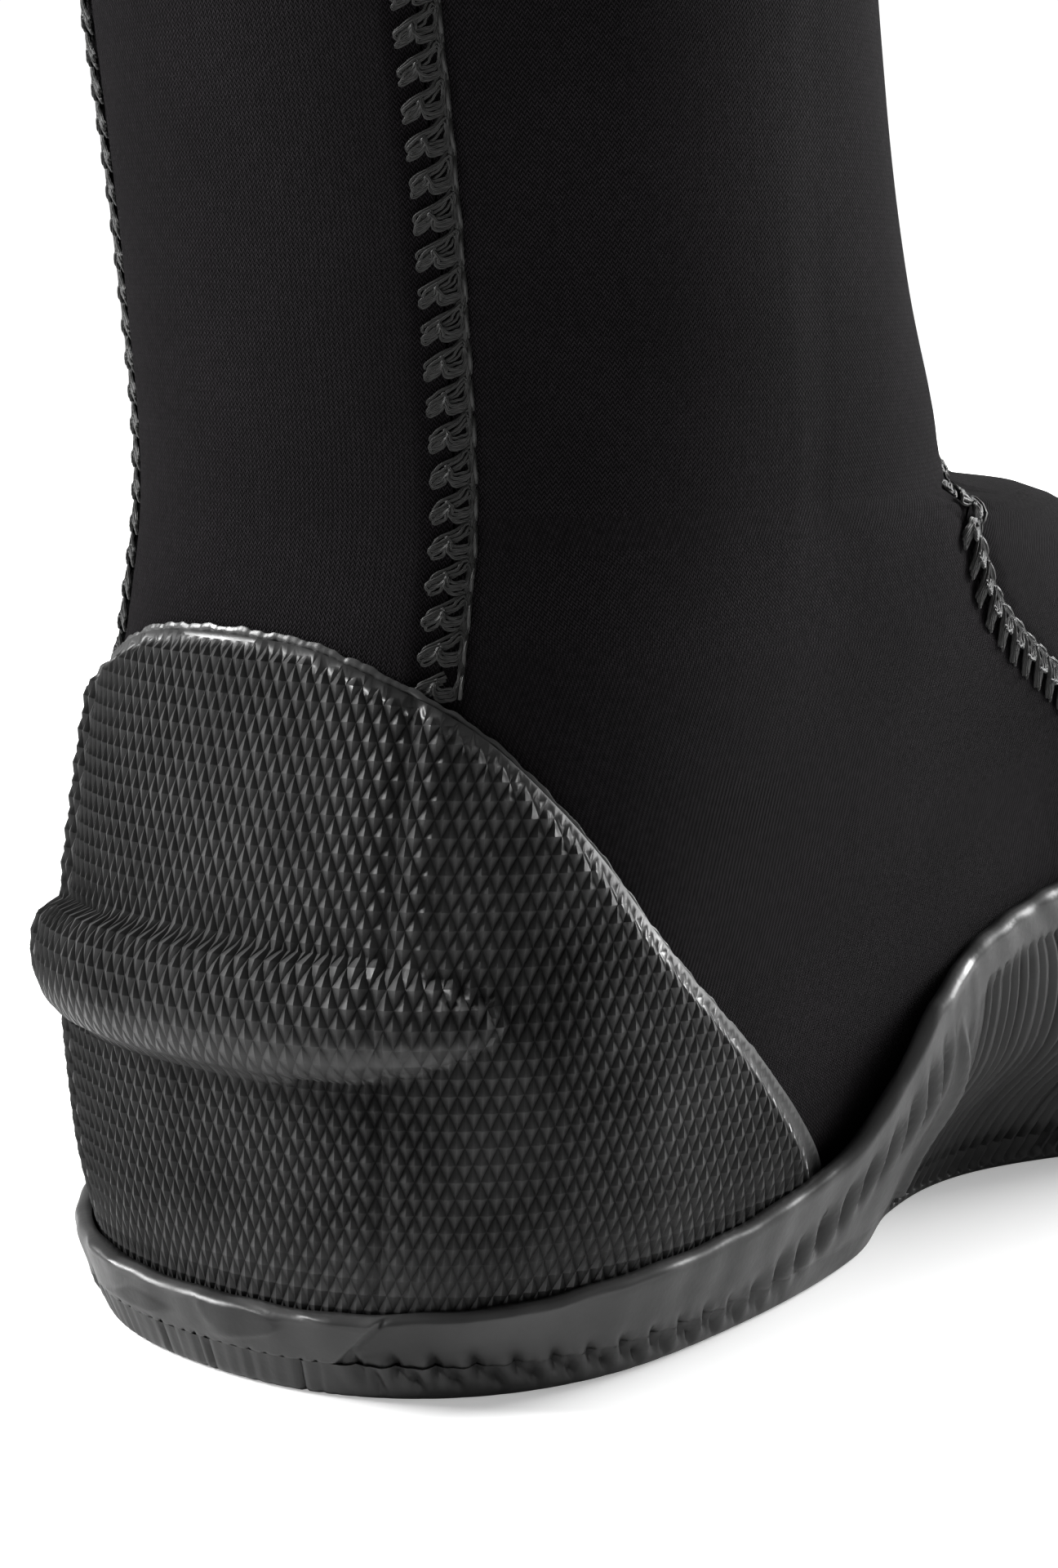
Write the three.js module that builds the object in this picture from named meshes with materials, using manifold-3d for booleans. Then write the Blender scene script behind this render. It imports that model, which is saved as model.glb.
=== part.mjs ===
// A pull-on neoprene water-sports boot for the left foot.
// Millimetres. +Z is up, +Y runs to the toe and +X to the inner side of the foot.
//
// The upper's outer face is one surface, skin(v, z). z is the height over the ground and v is the girth:
// 0 at the middle of the heel, 1 at the middle of the front, positive on the inner side of the foot and
// negative on the outer side. Every piece is a patch of that surface, moved along its normal: neoprene
// lies inside it, and rubber, tape and thread lie on it.
import * as THREE from 'three';
import { mergeVertices } from 'three/addons/utils/BufferGeometryUtils.js';
import Module from 'manifold-3d';

const wasm = await Module();
wasm.setup();

// ---------- Driving dimensions ----------
const footLength = 283;          // back of the heel to the tip of the toe, over the neoprene
const bootHeight = 250;          // ground to the top of the collar
const heelHalfWidth = 38;
const ballInnerWidth = 47;       // from the centre plane to the inner side at the ball of the foot
const ballOuterWidth = 54;       // from the centre plane to the outer side
const collarHalfWidth = 45;
const collarDepth = 94;          // front to back at the top
const collarLean = 8;            // how far the collar's back leans behind the heel
const throatHeight = 88;         // where the instep turns up into the shaft
const throatDepth = 97.5;        // front to back just over the throat
const toeHeight = 40;
const waistPinch = 17;           // how far the inner side is drawn in under the arch
const neoprene = 5;
const rubber = 1.5;              // wall of the moulded heel cup and toe cap
const foxing = 1.5;              // wall of the rubber strip round the sole
const soleThickness = 4;
const treadDepth = 1.6;
const treadWidth = 3.2;
const treadPitch = 9.5;
const midsoleThickness = 2.5;
const boardThickness = 1.2;
const footbedThickness = 4;
const threadWidth = 4.4;
const threadHeight = 1.1;
const tapeWidth = 8;
const tapeThickness = 0.4;
const bindingDepth = 10;         // how far the collar binding reaches down the neoprene
const bindingThickness = 0.9;
const ridgeHalfHeight = 6.3;     // fin-strap ridge on the heel cup
const ridgeStand = 3.6;
const ridgeHeight = 39.3;
const ridgeReach = 0.172;        // girth at which the ridge runs out
const cupHeight = 75;            // top of the heel cup
const cupReach = 0.352;          // girth at which the heel cup runs under the foxing
const toeCapHeight = 50;
const toeCapReach = 0.19;        // girth that the toe cap covers each side of the middle
const backSeam = 0.117;          // girth of the two seams beside the back panel
const gap = 0.35;                // clearance between pieces that touch
const lastingClearance = 1.5;     // the filler and the board stay clear of the curved walls by this
const footbedClearance = 1.5;
const archFit = 2.8;              // clearance of the tape that arches over the instep
const looseFit = 0.75;           // clearance of what bends round tight corners

// ---------- Heights that follow from them ----------
const base = soleThickness + gap;
const boardBottom = base + midsoleThickness + gap;
const footbedBottom = boardBottom + boardThickness + gap;
const toeTip = footLength;
const seamTop = throatHeight + 2.5;
const panelTop = bootHeight - bindingThickness - gap;
const ballPlace = toeTip - 98;
const heelEnd = 50;
const waistPlace = 108;
const waistSpread = 32;
const toeIn = 8;                 // how far the toe's middle turns to the inner side

/** A height between the throat (0) and the top of the collar (1). */
const shaft = (t) => throatHeight + t * (bootHeight - throatHeight);
/** A height between the top of the toe (0) and the throat (1). */
const instep = (t) => toeHeight + t * (throatHeight - toeHeight);
/** A place between the front of the throat (0) and the tip of the toe (1). */
const throatFront = 7.5 + throatDepth;
const ahead = (t) => throatFront + t * (toeTip - throatFront);

/** A smooth curve through [place, value] stations, which never swings past a station. */
function curve(stations) {
  const xs = stations.map((s) => s[0]);
  const ys = stations.map((s) => s[1]);
  const last = xs.length - 1;
  const step = xs.slice(1).map((x, i) => x - xs[i]);
  const rise = step.map((h, i) => (ys[i + 1] - ys[i]) / h);
  const slope = xs.map((x, i) => {
    if (i === 0) return rise[0];
    if (i === last) return rise[last - 1];
    if (rise[i - 1] * rise[i] <= 0) return 0;
    const before = 2 * step[i] + step[i - 1];
    const after = step[i] + 2 * step[i - 1];
    return (before + after) / (before / rise[i - 1] + after / rise[i]);
  });
  return (x) => {
    if (x <= xs[0]) return ys[0] + (x - xs[0]) * slope[0];
    if (x >= xs[last]) return ys[last] + (x - xs[last]) * slope[last];
    const i = xs.findIndex((place) => place > x) - 1;
    const t = (x - xs[i]) / step[i];
    return (1 + 2 * t) * (1 - t) ** 2 * ys[i] + t * (1 - t) ** 2 * step[i] * slope[i]
      + t * t * (3 - 2 * t) * ys[i + 1] + t * t * (t - 1) * step[i] * slope[i + 1];
  };
}

// ---------- The upper's outer surface, slice by slice ----------
const backLine = curve([[0, 5], [8, 2.5], [20, 1], [38, 0], [55, 2], [75, 6], [throatHeight, 7.5],
  [shaft(0.135), 6], [shaft(0.36), 1], [shaft(0.68), 0.5 - collarLean / 2], [shaft(1), -collarLean]]);
const frontLine = curve([[0, toeTip - 15], [10, toeTip - 7], [20, toeTip], [30, toeTip - 1],
  [instep(0), ahead(0.933)], [instep(0.185), ahead(0.79)], [instep(0.37), ahead(0.62)],
  [instep(0.556), ahead(0.455)], [instep(0.704), ahead(0.33)], [instep(0.852), ahead(0.215)],
  [instep(0.94), ahead(0.13)], [instep(1), throatFront], [shaft(0.045), throatFront - 5],
  [shaft(0.13), throatFront - 12.5], [shaft(0.25), throatFront - 18.5],
  [shaft(0.43), throatFront - 24], [shaft(0.68), collarDepth - collarLean - 5.5],
  [shaft(1), collarDepth - collarLean]]);
const heelRound = curve([[0, 33], [20, 36], [40, 38], [60, 40], [90, 41], [120, 39], [250, 37]]);
const toeRound = curve([[0, 62], [20, 66], [30, 70], [instep(0), 85], [instep(0.185), 100],
  [instep(0.37), 110], [instep(0.556), 106], [instep(0.74), 94], [instep(0.93), 72],
  [shaft(0.04), 49], [shaft(0.17), 43], [shaft(1), 38]]);
const heelSquareness = curve([[0, 2.35], [60, 2.35], [100, 2.1], [250, 2]]);
const heelHalf = curve([[0, heelHalfWidth - 8], [8, heelHalfWidth - 4.5], [20, heelHalfWidth - 1],
  [40, heelHalfWidth + 0.5], [60, heelHalfWidth], [shaft(0.04), heelHalfWidth + 1],
  [shaft(0.49), collarHalfWidth - 4], [shaft(1), collarHalfWidth]]);
const ballInner = curve([[0, ballInnerWidth - 7], [10, ballInnerWidth - 4], [22, ballInnerWidth],
  [instep(0), ballInnerWidth - 3], [instep(0.185), heelHalfWidth], [instep(0.37), heelHalfWidth - 2],
  [instep(0.74), heelHalfWidth], [shaft(0.04), heelHalfWidth + 1], [shaft(1), collarHalfWidth]]);
const ballOuter = curve([[0, ballOuterWidth - 8], [10, ballOuterWidth - 4], [22, ballOuterWidth],
  [instep(0), ballOuterWidth - 4], [instep(0.185), heelHalfWidth + 4], [instep(0.37), heelHalfWidth],
  [instep(0.74), heelHalfWidth], [shaft(0.04), heelHalfWidth + 1], [shaft(1), collarHalfWidth]]);
const archPinch = curve([[0, waistPinch], [8, waistPinch - 1], [20, waistPinch - 6],
  [40, waistPinch - 11], [60, 2], [80, 0], [250, 0]]);
const outerPinch = curve([[0, 3], [20, 2], [40, 0], [250, 0]]);

const rearPart = 0.30;           // girth taken by the round of the heel
const frontPart = 0.66;          // girth at which the round of the front starts
const frontSquareness = 2.1;
const leastStraight = 6;         // length of the straight side that the two rounds leave

const clamp = THREE.MathUtils.clamp;
/** Keeps a girth between -1 and 1, past the middle of the front. */
const wrap = (v) => (v > 1 ? v - 2 : v < -1 ? v + 2 : v);
/** The part of a squared-off circle that a cosine or sine gives. */
const squared = (c, power) => Math.pow(clamp(c, 0, 1), 2 / power);

/** The point of the upper's outer surface at girth v and height z. */
function skin(girth, z) {
  const v = wrap(girth);
  const s = Math.abs(v);
  const yBack = backLine(z);
  const yFront = frontLine(z);
  const shrink = Math.min(1, (yFront - yBack - leastStraight) / (heelRound(z) + toeRound(z)));
  const rear = heelRound(z) * shrink;
  const front = toeRound(z) * shrink;
  const rearTurn = clamp(s / rearPart, 0, 1) * Math.PI / 2;
  const frontTurn = clamp((1 - s) / (1 - frontPart), 0, 1) * Math.PI / 2;
  const along = clamp((s - rearPart) / (frontPart - rearPart), 0, 1);
  const power = heelSquareness(z);
  let y = yBack + rear + (yFront - front - yBack - rear) * along;
  if (s < rearPart) y = yBack + rear * (1 - squared(Math.cos(rearTurn), power));
  if (s > frontPart) y = yFront - front * (1 - squared(Math.cos(frontTurn), frontSquareness));
  const ball = THREE.MathUtils.smoothstep(y, heelEnd, ballPlace);
  const waist = Math.exp(-(((y - waistPlace) / waistSpread) ** 2));
  const wide = v >= 0
    ? heelHalf(z) * (1 - ball) + ballInner(z) * ball - archPinch(z) * waist
    : -(heelHalf(z) * (1 - ball) + ballOuter(z) * ball - outerPinch(z) * waist);
  const tip = toeIn * clamp((y - 150) / 100, 0, 1);
  let x = wide;
  if (s < rearPart) x = wide * squared(Math.sin(rearTurn), power);
  if (s > frontPart) x = tip + (wide - tip) * squared(Math.sin(frontTurn), frontSquareness);
  return new THREE.Vector3(x, y, z);
}

/** The surface's two tangents at a point, along the girth and up. */
function tangents(v, z) {
  const small = 0.001;
  const alongGirth = skin(v + small, z).sub(skin(v - small, z)).divideScalar(2 * small);
  const up = skin(v, z + 50 * small).sub(skin(v, z - 50 * small)).divideScalar(100 * small);
  return [alongGirth, up];
}

/** The outward normal. Under the widest part it stays level, so that walls end square on the sole. */
function normal(v, z) {
  const [alongGirth, up] = tangents(v, z);
  const n = alongGirth.cross(up).normalize();
  n.z = Math.max(n.z, 0);
  return n.normalize();
}

/** The surface point moved out along its normal, or in where the distance is negative. */
const at = (v, z, distance) => skin(v, z).addScaledVector(normal(v, z), distance);

/** Moves a surface place sideways by a distance, square to the way a seam runs through it. */
function beside(v, z, seamGirth, seamUp, distance) {
  const [a, b] = tangents(v, z);
  const along = a.clone().multiplyScalar(seamGirth).addScaledVector(b, seamUp);
  const side = new THREE.Vector3().crossVectors(along, a.clone().cross(b)).normalize();
  const aa = a.dot(a);
  const ab = a.dot(b);
  const bb = b.dot(b);
  const sa = side.dot(a);
  const sb = side.dot(b);
  const scale = distance / (aa * bb - ab * ab);
  return [v + (sa * bb - sb * ab) * scale, z + (sb * aa - sa * ab) * scale];
}

// ---------- Solids ----------
/** A closed geometry from points and triangles, turned right side out. */
function solid(points, triangles) {
  const same = (a, b) => points[a].distanceToSquared(points[b]) < 1e-10;
  const kept = triangles.filter(([a, b, c]) => !same(a, b) && !same(b, c) && !same(a, c));
  const volume = kept.reduce((sum, [a, b, c]) =>
    sum + points[a].dot(new THREE.Vector3().crossVectors(points[b], points[c])), 0);
  const index = kept.flatMap(([a, b, c]) => (volume < 0 ? [a, c, b] : [a, b, c]));
  const geometry = new THREE.BufferGeometry();
  geometry.setAttribute('position', new THREE.Float32BufferAttribute(points.flatMap((p) => p.toArray()), 3));
  geometry.setIndex(index);
  return mergeVertices(geometry, 1e-4);
}

/** Joins an outer and an inner grid of points into one solid; a ring closes on itself sideways. */
function shell(outer, inner, ring = false) {
  const rows = outer.length;
  const columns = outer[0].length;
  const points = [...outer.flat(), ...inner.flat()];
  const place = (side, j, i) => (side * rows + j) * columns + (i % columns);
  const triangles = [];
  const quad = (a, b, c, d) => triangles.push([a, b, c], [a, c, d]);
  const across = ring ? columns : columns - 1;
  for (let j = 0; j < rows - 1; j += 1) {
    for (let i = 0; i < across; i += 1) {
      quad(place(0, j, i), place(0, j, i + 1), place(0, j + 1, i + 1), place(0, j + 1, i));
      quad(place(1, j, i), place(1, j + 1, i), place(1, j + 1, i + 1), place(1, j, i + 1));
    }
  }
  for (let i = 0; i < across; i += 1) {
    quad(place(0, 0, i), place(1, 0, i), place(1, 0, i + 1), place(0, 0, i + 1));
    quad(place(0, rows - 1, i), place(0, rows - 1, i + 1), place(1, rows - 1, i + 1), place(1, rows - 1, i));
  }
  for (let j = 0; j < rows - 1 && !ring; j += 1) {
    quad(place(0, j, 0), place(0, j + 1, 0), place(1, j + 1, 0), place(1, j, 0));
    quad(place(0, j, columns - 1), place(1, j, columns - 1), place(1, j + 1, columns - 1),
      place(0, j + 1, columns - 1));
  }
  return solid(points, triangles);
}

/** A patch of the surface with a wall: each row is a list of [v, z], and the faces are distances. */
function patch(rows, inside, outside, ring = false) {
  const face = (distance) => rows.map((row, j) => row.map(([v, z], i) =>
    at(v, z, typeof distance === 'number' ? distance : distance(v, z, j, i))));
  return shell(face(outside), face(inside), ring);
}

/** A flat sole piece: loops round the foot at rising heights, closed by flat faces across the foot. */
function slab(levels) {
  const half = 44;
  const girths = Array.from({ length: 2 * half }, (_, i) => i / half);
  const points = levels.flatMap(({ z, distance }) => girths.map((v) => at(v, z, distance(wrap(v)))));
  const count = girths.length;
  const triangles = [];
  for (let k = 0; k < levels.length - 1; k += 1) {
    for (let i = 0; i < count; i += 1) {
      const next = (i + 1) % count;
      triangles.push([k * count + i, k * count + next, (k + 1) * count + next]);
      triangles.push([k * count + i, (k + 1) * count + next, (k + 1) * count + i]);
    }
  }
  const top = (levels.length - 1) * count;
  for (let i = 0; i < half; i += 1) {
    const a = i;
    const b = i + 1;
    const c = (count - i - 1) % count;
    const d = (count - i) % count;
    triangles.push([a, c, b], [top + a, top + b, top + c]);
    if (i > 0) triangles.push([a, d, c], [top + a, top + c, top + d]);
  }
  return solid(points, triangles);
}

/** Cuts tools out of a geometry. */
function cut(geometry, tools) {
  const toManifold = (source) => {
    const bare = source.clone();
    bare.deleteAttribute('normal');
    bare.deleteAttribute('uv');
    const merged = mergeVertices(bare);
    return new wasm.Manifold(new wasm.Mesh({
      numProp: 3,
      vertProperties: new Float32Array(merged.attributes.position.array),
      triVerts: new Uint32Array(merged.index.array),
    }));
  };
  const result = tools.reduce((body, tool) => body.subtract(toManifold(tool)), toManifold(geometry)).getMesh();
  const made = new THREE.BufferGeometry();
  made.setAttribute('position', new THREE.Float32BufferAttribute(result.vertProperties, 3));
  made.setIndex(new THREE.Uint32BufferAttribute(result.triVerts, 1));
  return made;
}

// ---------- Where the seams and edges run ----------
const vampSeam = curve([[0, 0.56], [36, 0.575], [45, 0.59], [instep(0.26), 0.64], [instep(0.484), 0.684],
  [instep(0.608), 0.693], [instep(0.754), 0.703], [instep(0.91), 0.72], [instep(0.985), 0.78],
  [throatHeight + 1, 0.84], [seamTop, 0.93]]);
const cupEdge = curve([[0, cupHeight], [0.034, cupHeight - 0.4], [0.104, cupHeight - 4.8],
  [0.138, cupHeight - 8], [0.194, 58.5], [0.245, 47.8], [0.301, 34.5], [0.34, 17], [cupReach, base + 5]]);
const foxingTop = curve([[0, 9], [0.118, 9.5], [0.217, 11.2], [0.307, 13.2], [0.339, 16.2], [0.361, 23.5],
  [0.377, 31], [0.401, 34.8], [0.453, 39.5], [0.5, 41], [0.58, 39], [0.66, 35], [0.75, 30], [0.85, 27],
  [1, 26]]);
const overCap = looseFit + rubber;   // outer face of the heel cup and the toe cap

/** How far the inside of the foxing stands off the neoprene: over the caps, or close between them. */
function foxingInside(v) {
  const s = Math.abs(v);
  const offCup = THREE.MathUtils.smoothstep(s, cupReach + 0.02, cupReach + 0.055);
  const onToe = THREE.MathUtils.smoothstep(s, 1 - toeCapReach - 0.06, 1 - toeCapReach - 0.02);
  const close = offCup * (1 - onToe);
  return gap + looseFit + (overCap - gap) * (1 - close);
}
const foxingOutside = (v) => foxingInside(v) + foxing;

/** The heights of the panels' rows under and over the top of the vamp seam. */
const lowerRows = 20;
const lowerLevels = Array.from({ length: lowerRows + 1 }, (_, j) =>
  base + (seamTop - gap - base) * (1 - (1 - j / lowerRows) ** 1.5));
const upperRows = 7;
const upperStart = seamTop + 0.8;
const upperLevels = Array.from({ length: upperRows + 1 }, (_, j) =>
  upperStart + (panelTop - upperStart) * (j / upperRows) ** 1.3);
const allLevels = [...lowerLevels, ...upperLevels];

/** The girth that moves a panel's edge off a seam by half the clearance, along its own row. */
function seamInset(v, z, seamGirth) {
  const [a, b] = tangents(v, z);
  const along = a.clone().multiplyScalar(seamGirth).add(b);
  const side = new THREE.Vector3().crossVectors(along, a.clone().cross(b)).normalize();
  return gap / 2 / Math.abs(a.dot(side));
}
const backInset = (z) => seamInset(backSeam, z, 0);
const vampSlope = (z) => (vampSeam(z + 0.05) - vampSeam(z - 0.05)) / 0.1;
const vampInset = (z) => seamInset(vampSeam(z), z, vampSlope(z));

/** The front edge of a quarter panel: the vamp seam, then the middle of the front. */
function quarterFront(z) {
  if (z > seamTop) return 1 - seamInset(1, z, 0);
  return vampSeam(z) - vampInset(z);
}

// ---------- Pieces ----------
const mix = (a, b, t) => a + (b - a) * t;
const backColumns = Array.from({ length: 9 }, (_, i) => i / 4 - 1);
const rearColumns = [0.14, 0.165, 0.19, 0.216, 0.243, 0.271, rearPart];
const sideColumns = [0.085, 0.17, 0.255, 0.34, 0.425, 0.51, 0.595, 0.68, 0.765, 0.85, 0.93, 0.972, 1];

/** The neoprene between the two back seams. */
function backPanel() {
  const rows = allLevels.map((z) => backColumns.map((t) => [t * (backSeam - backInset(z)), z]));
  return patch(rows, -neoprene, 0);
}

/** One side of the upper, from the back seam to the front; side is 1 inner or -1 outer. */
function quarter(side) {
  const rows = allLevels.map((z) => {
    const girths = [backSeam + backInset(z), ...rearColumns,
      ...sideColumns.map((t) => mix(rearPart, quarterFront(z), t))];
    return girths.map((v) => [side * v, z]);
  });
  return patch(rows, -neoprene, 0);
}

/** The front of the foot, under the arched vamp seam. */
function vamp() {
  const columns = 26;
  const rows = lowerLevels.map((z) => {
    const edge = vampSeam(z) + vampInset(z);
    return Array.from({ length: columns + 1 }, (_, i) => [mix(edge, 2 - edge, i / columns), z]);
  });
  return patch(rows, -neoprene, 0);
}

/** The rubber cup over the heel, with its edge falling forward to the sole. */
function heelCup() {
  const columns = 24;
  const levels = 9;
  const crowd = (u) => Math.sign(u) * (1 - (1 - Math.abs(u)) ** 1.5);
  const rows = Array.from({ length: levels + 1 }, (_, j) =>
    Array.from({ length: columns + 1 }, (_, i) => {
      const v = cupReach * crowd(2 * i / columns - 1);
      return [v, mix(base, cupEdge(Math.abs(v)), j / levels)];
    }));
  return patch(rows, looseFit, overCap);
}

/** The half-round ridge that keeps a fin strap from sliding down the heel. */
function finStrapRidge() {
  const columns = 18;
  const turns = 6;
  const seat = overCap + gap;
  const fullness = (v) => Math.max(0.15, 1 - Math.abs(v / ridgeReach) ** 2.2) ** 0.6;
  const rows = Array.from({ length: turns + 1 }, (_, j) =>
    Array.from({ length: columns + 1 }, (_, i) => {
      const v = ridgeReach * (2 * i / columns - 1);
      return [v, ridgeHeight - ridgeHalfHeight * fullness(v) * Math.cos(Math.PI * j / turns)];
    }));
  const crown = (v, z, j) => seat + 0.25 + ridgeStand * fullness(v) * Math.sin(Math.PI * j / turns);
  return patch(rows, seat, crown);
}

/** The rubber cap over the toe. */
function toeCap() {
  const columns = 22;
  const levels = 12;
  const edge = (u) => mix(base + 10, toeCapHeight, Math.sqrt(Math.max(0, 1 - u * u)));
  const climb = (t) => 1 - (1 - t) ** 1.7;
  const rows = Array.from({ length: levels + 1 }, (_, j) =>
    Array.from({ length: columns + 1 }, (_, i) => {
      const u = Math.sin(Math.PI * (i / columns - 0.5));
      return [1 + toeCapReach * u, mix(base, edge(u), climb(j / levels))];
    }));
  return patch(rows, looseFit, overCap);
}

/** The rubber strip round the sole, which rises at the arch. */
function foxingStrip() {
  const columns = 80;
  const levels = 5;
  const rows = Array.from({ length: levels + 1 }, (_, j) =>
    Array.from({ length: columns }, (_, i) => {
      const v = wrap(2 * i / columns);
      return [v, mix(base, foxingTop(Math.abs(v)), j / levels)];
    }));
  return patch(rows, foxingInside, foxingOutside, true);
}

/** The outsole, with a bevelled edge and grooves across the heel and the forefoot. */
function outsole() {
  const bevel = 0.8;
  const body = slab([
    { z: 0, distance: (v) => foxingOutside(v) - bevel },
    { z: bevel, distance: foxingOutside },
    { z: soleThickness, distance: foxingOutside },
  ]);
  const groove = (y) => new THREE.BoxGeometry(3 * ballOuterWidth, treadWidth, 2 * treadDepth).translate(0, y, 0);
  const heelGrooves = Array.from({ length: 6 }, (_, i) => 10 + i * treadPitch);
  const foreCount = Math.floor((toeTip - 20 - 145) / treadPitch);
  const foreGrooves = Array.from({ length: foreCount + 1 }, (_, i) => 145 + i * treadPitch);
  return cut(body, [...heelGrooves, ...foreGrooves].map(groove));
}

/** A plate that fills the foot's outline inside the neoprene. */
function plate(bottom, thickness, clearance) {
  const distance = () => -(neoprene + clearance);
  return slab([{ z: bottom, distance }, { z: bottom + thickness, distance }]);
}

/** A narrow strip along a line of [v, z] places; its middle stands proud of its edges by the crown. */
function strip(line, width, seat, thickness, crown = 0) {
  const heading = line.map((p, i) => {
    const a = line[Math.max(i - 1, 0)];
    const b = line[Math.min(i + 1, line.length - 1)];
    return [b[0] - a[0], b[1] - a[1]];
  });
  const lanes = crown > 0 ? [-0.5, -0.25, 0, 0.25, 0.5] : [-0.5, 0, 0.5];
  const rows = lanes.map((t) =>
    line.map(([v, z], i) => beside(v, z, heading[i][0], heading[i][1], t * width)));
  const outside = (v, z, j) => seat + thickness + crown * (1 - (2 * lanes[j]) ** 2);
  return patch(rows, seat, outside);
}
const between = (low, high) => allLevels.filter((z) => z > low && z < high);
const threadTop = panelTop - bindingDepth;

/** The raised stitching over a back seam, from the heel cup to the collar binding. */
function backThread(side) {
  const low = cupEdge(backSeam) + 2;
  const heights = [low, ...between(low + 1, threadTop - 1), threadTop - gap];
  return strip(heights.map((z) => [side * backSeam, z]), threadWidth, gap, 0.3, threadHeight);
}

/** The raised stitching over the front seam. */
function frontThread() {
  const low = seamTop + threadWidth / 2 + 2;
  const heights = [low, ...between(low + 1, threadTop - 1), threadTop - gap];
  return strip(heights.map((z) => [1, z]), threadWidth, looseFit, 0.3, threadHeight);
}

/** The line of the vamp seam over the instep, from a height on one side to the same on the other. */
function vampLine(low) {
  const steps = 18;
  const climb = (t) => 1 - (1 - t) ** 2;
  const inner = Array.from({ length: steps + 1 }, (_, i) => mix(low, seamTop, climb(i / steps)))
    .map((z) => [vampSeam(z), z]);
  const half = [...inner, [0.952, seamTop + 0.1], [0.976, seamTop + 0.2]];
  const outer = half.map(([v, z]) => [2 - v, z]).reverse();
  return [...half, [1, seamTop + 0.2], ...outer];
}

/** The collar binding: a strip folded over the top edge, with a lip down each face. */
function collarBinding() {
  const side = [...rearColumns, ...sideColumns.map((t) => mix(rearPart, 1, t))];
  const girths = [...backColumns.map((t) => t * backSeam), ...side, ...side.slice(0, -1).map((v) => -v).reverse()];
  const columns = girths.length;
  const low = panelTop - bindingDepth;
  const out = looseFit + bindingThickness;
  const inn = -(neoprene + looseFit + bindingThickness);
  const section = [[low, looseFit], [low, out], [bootHeight, out], [bootHeight, inn], [low, inn],
    [low, inn + bindingThickness], [panelTop + gap, inn + bindingThickness], [panelTop + gap, looseFit]];
  const loops = section.map(([z, d]) => girths.map((v) => at(v, z, d)));
  const points = loops.flat();
  const triangles = [];
  for (let k = 0; k < section.length; k += 1) {
    const next = (k + 1) % section.length;
    for (let i = 0; i < columns; i += 1) {
      const j = (i + 1) % columns;
      triangles.push([k * columns + i, k * columns + j, next * columns + j]);
      triangles.push([k * columns + i, next * columns + j, next * columns + i]);
    }
  }
  return solid(points, triangles);
}

// ---------- Materials ----------
const material = (color, roughness) => new THREE.MeshStandardMaterial({ color, roughness, metalness: 0 });
const knit = material(0x2a292b, 0.95);
const knurledRubber = material(0x3c3c3d, 0.62);
const smoothRubber = material(0x454546, 0.55);
const treadRubber = material(0x2f2f30, 0.7);
const thread = material(0x1d1c1e, 0.8);
const tape = material(0x252428, 0.9);
const binding = material(0x232225, 0.85);
const foam = material(0x4a4a4e, 0.9);
const board = material(0x8a8578, 0.9);
const footbedFabric = material(0x303036, 0.9);

// ---------- The boot ----------
const boot = new THREE.Group();
boot.name = 'neoprene_boot';
const add = (name, geometry, look) => {
  const mesh = new THREE.Mesh(geometry, look);
  mesh.name = name;
  boot.add(mesh);
};
add('outsole', outsole(), treadRubber);
add('midsole', plate(base, midsoleThickness, lastingClearance), foam);
add('insole_board', plate(boardBottom, boardThickness, lastingClearance), board);
add('footbed', plate(footbedBottom, footbedThickness, footbedClearance), footbedFabric);
add('back_panel', backPanel(), knit);
add('inner_quarter', quarter(1), knit);
add('outer_quarter', quarter(-1), knit);
add('vamp', vamp(), knit);
add('heel_cup', heelCup(), knurledRubber);
add('fin_strap_ridge', finStrapRidge(), knurledRubber);
add('toe_cap', toeCap(), knurledRubber);
add('foxing_strip', foxingStrip(), smoothRubber);
add('collar_binding', collarBinding(), binding);
add('inner_back_seam_thread', backThread(1), thread);
add('outer_back_seam_thread', backThread(-1), thread);
add('front_seam_thread', frontThread(), thread);
add('vamp_seam_thread', strip(vampLine(foxingTop(vampSeam(toeHeight)) + 4), threadWidth, looseFit, 0.3,
  threadHeight), thread);

const tapeSeat = -(neoprene + looseFit + tapeThickness);
const tapeTop = threadTop - gap;
const tapeLow = footbedBottom + footbedThickness + 6;
const tapeHeights = [tapeLow, ...between(tapeLow + 1, tapeTop - 1), tapeTop];
const frontTapeLow = seamTop + tapeWidth;
const frontTapeHeights = [frontTapeLow, ...between(frontTapeLow + 1, tapeTop - 1), tapeTop];
add('inner_back_seam_tape', strip(tapeHeights.map((z) => [backSeam, z]), tapeWidth, tapeSeat, tapeThickness), tape);
add('outer_back_seam_tape', strip(tapeHeights.map((z) => [-backSeam, z]), tapeWidth, tapeSeat, tapeThickness), tape);
add('front_seam_tape', strip(frontTapeHeights.map((z) => [1, z]), tapeWidth, tapeSeat, tapeThickness), tape);
add('vamp_seam_tape', strip(vampLine(tapeLow + 14), tapeWidth, -(neoprene + archFit + tapeThickness), tapeThickness), tape);

// The origin is on the ground, under the middle of the boot.
const box = new THREE.Box3().setFromObject(boot);
boot.position.set(-(box.min.x + box.max.x) / 2, -(box.min.y + box.max.y) / 2, -box.min.z);

export default boot;
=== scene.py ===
# %% [markdown]
# # A pull-on neoprene boot
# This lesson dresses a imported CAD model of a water-sports boot. The frame gives every piece its place, its
# body and its box. The looks are new meshes: each one is a patch of the same surface as the CAD upper,
# worked out with numpy on a fine grid, so that nothing has to be fitted afterwards.

# %% Load the frame
import math

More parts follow.
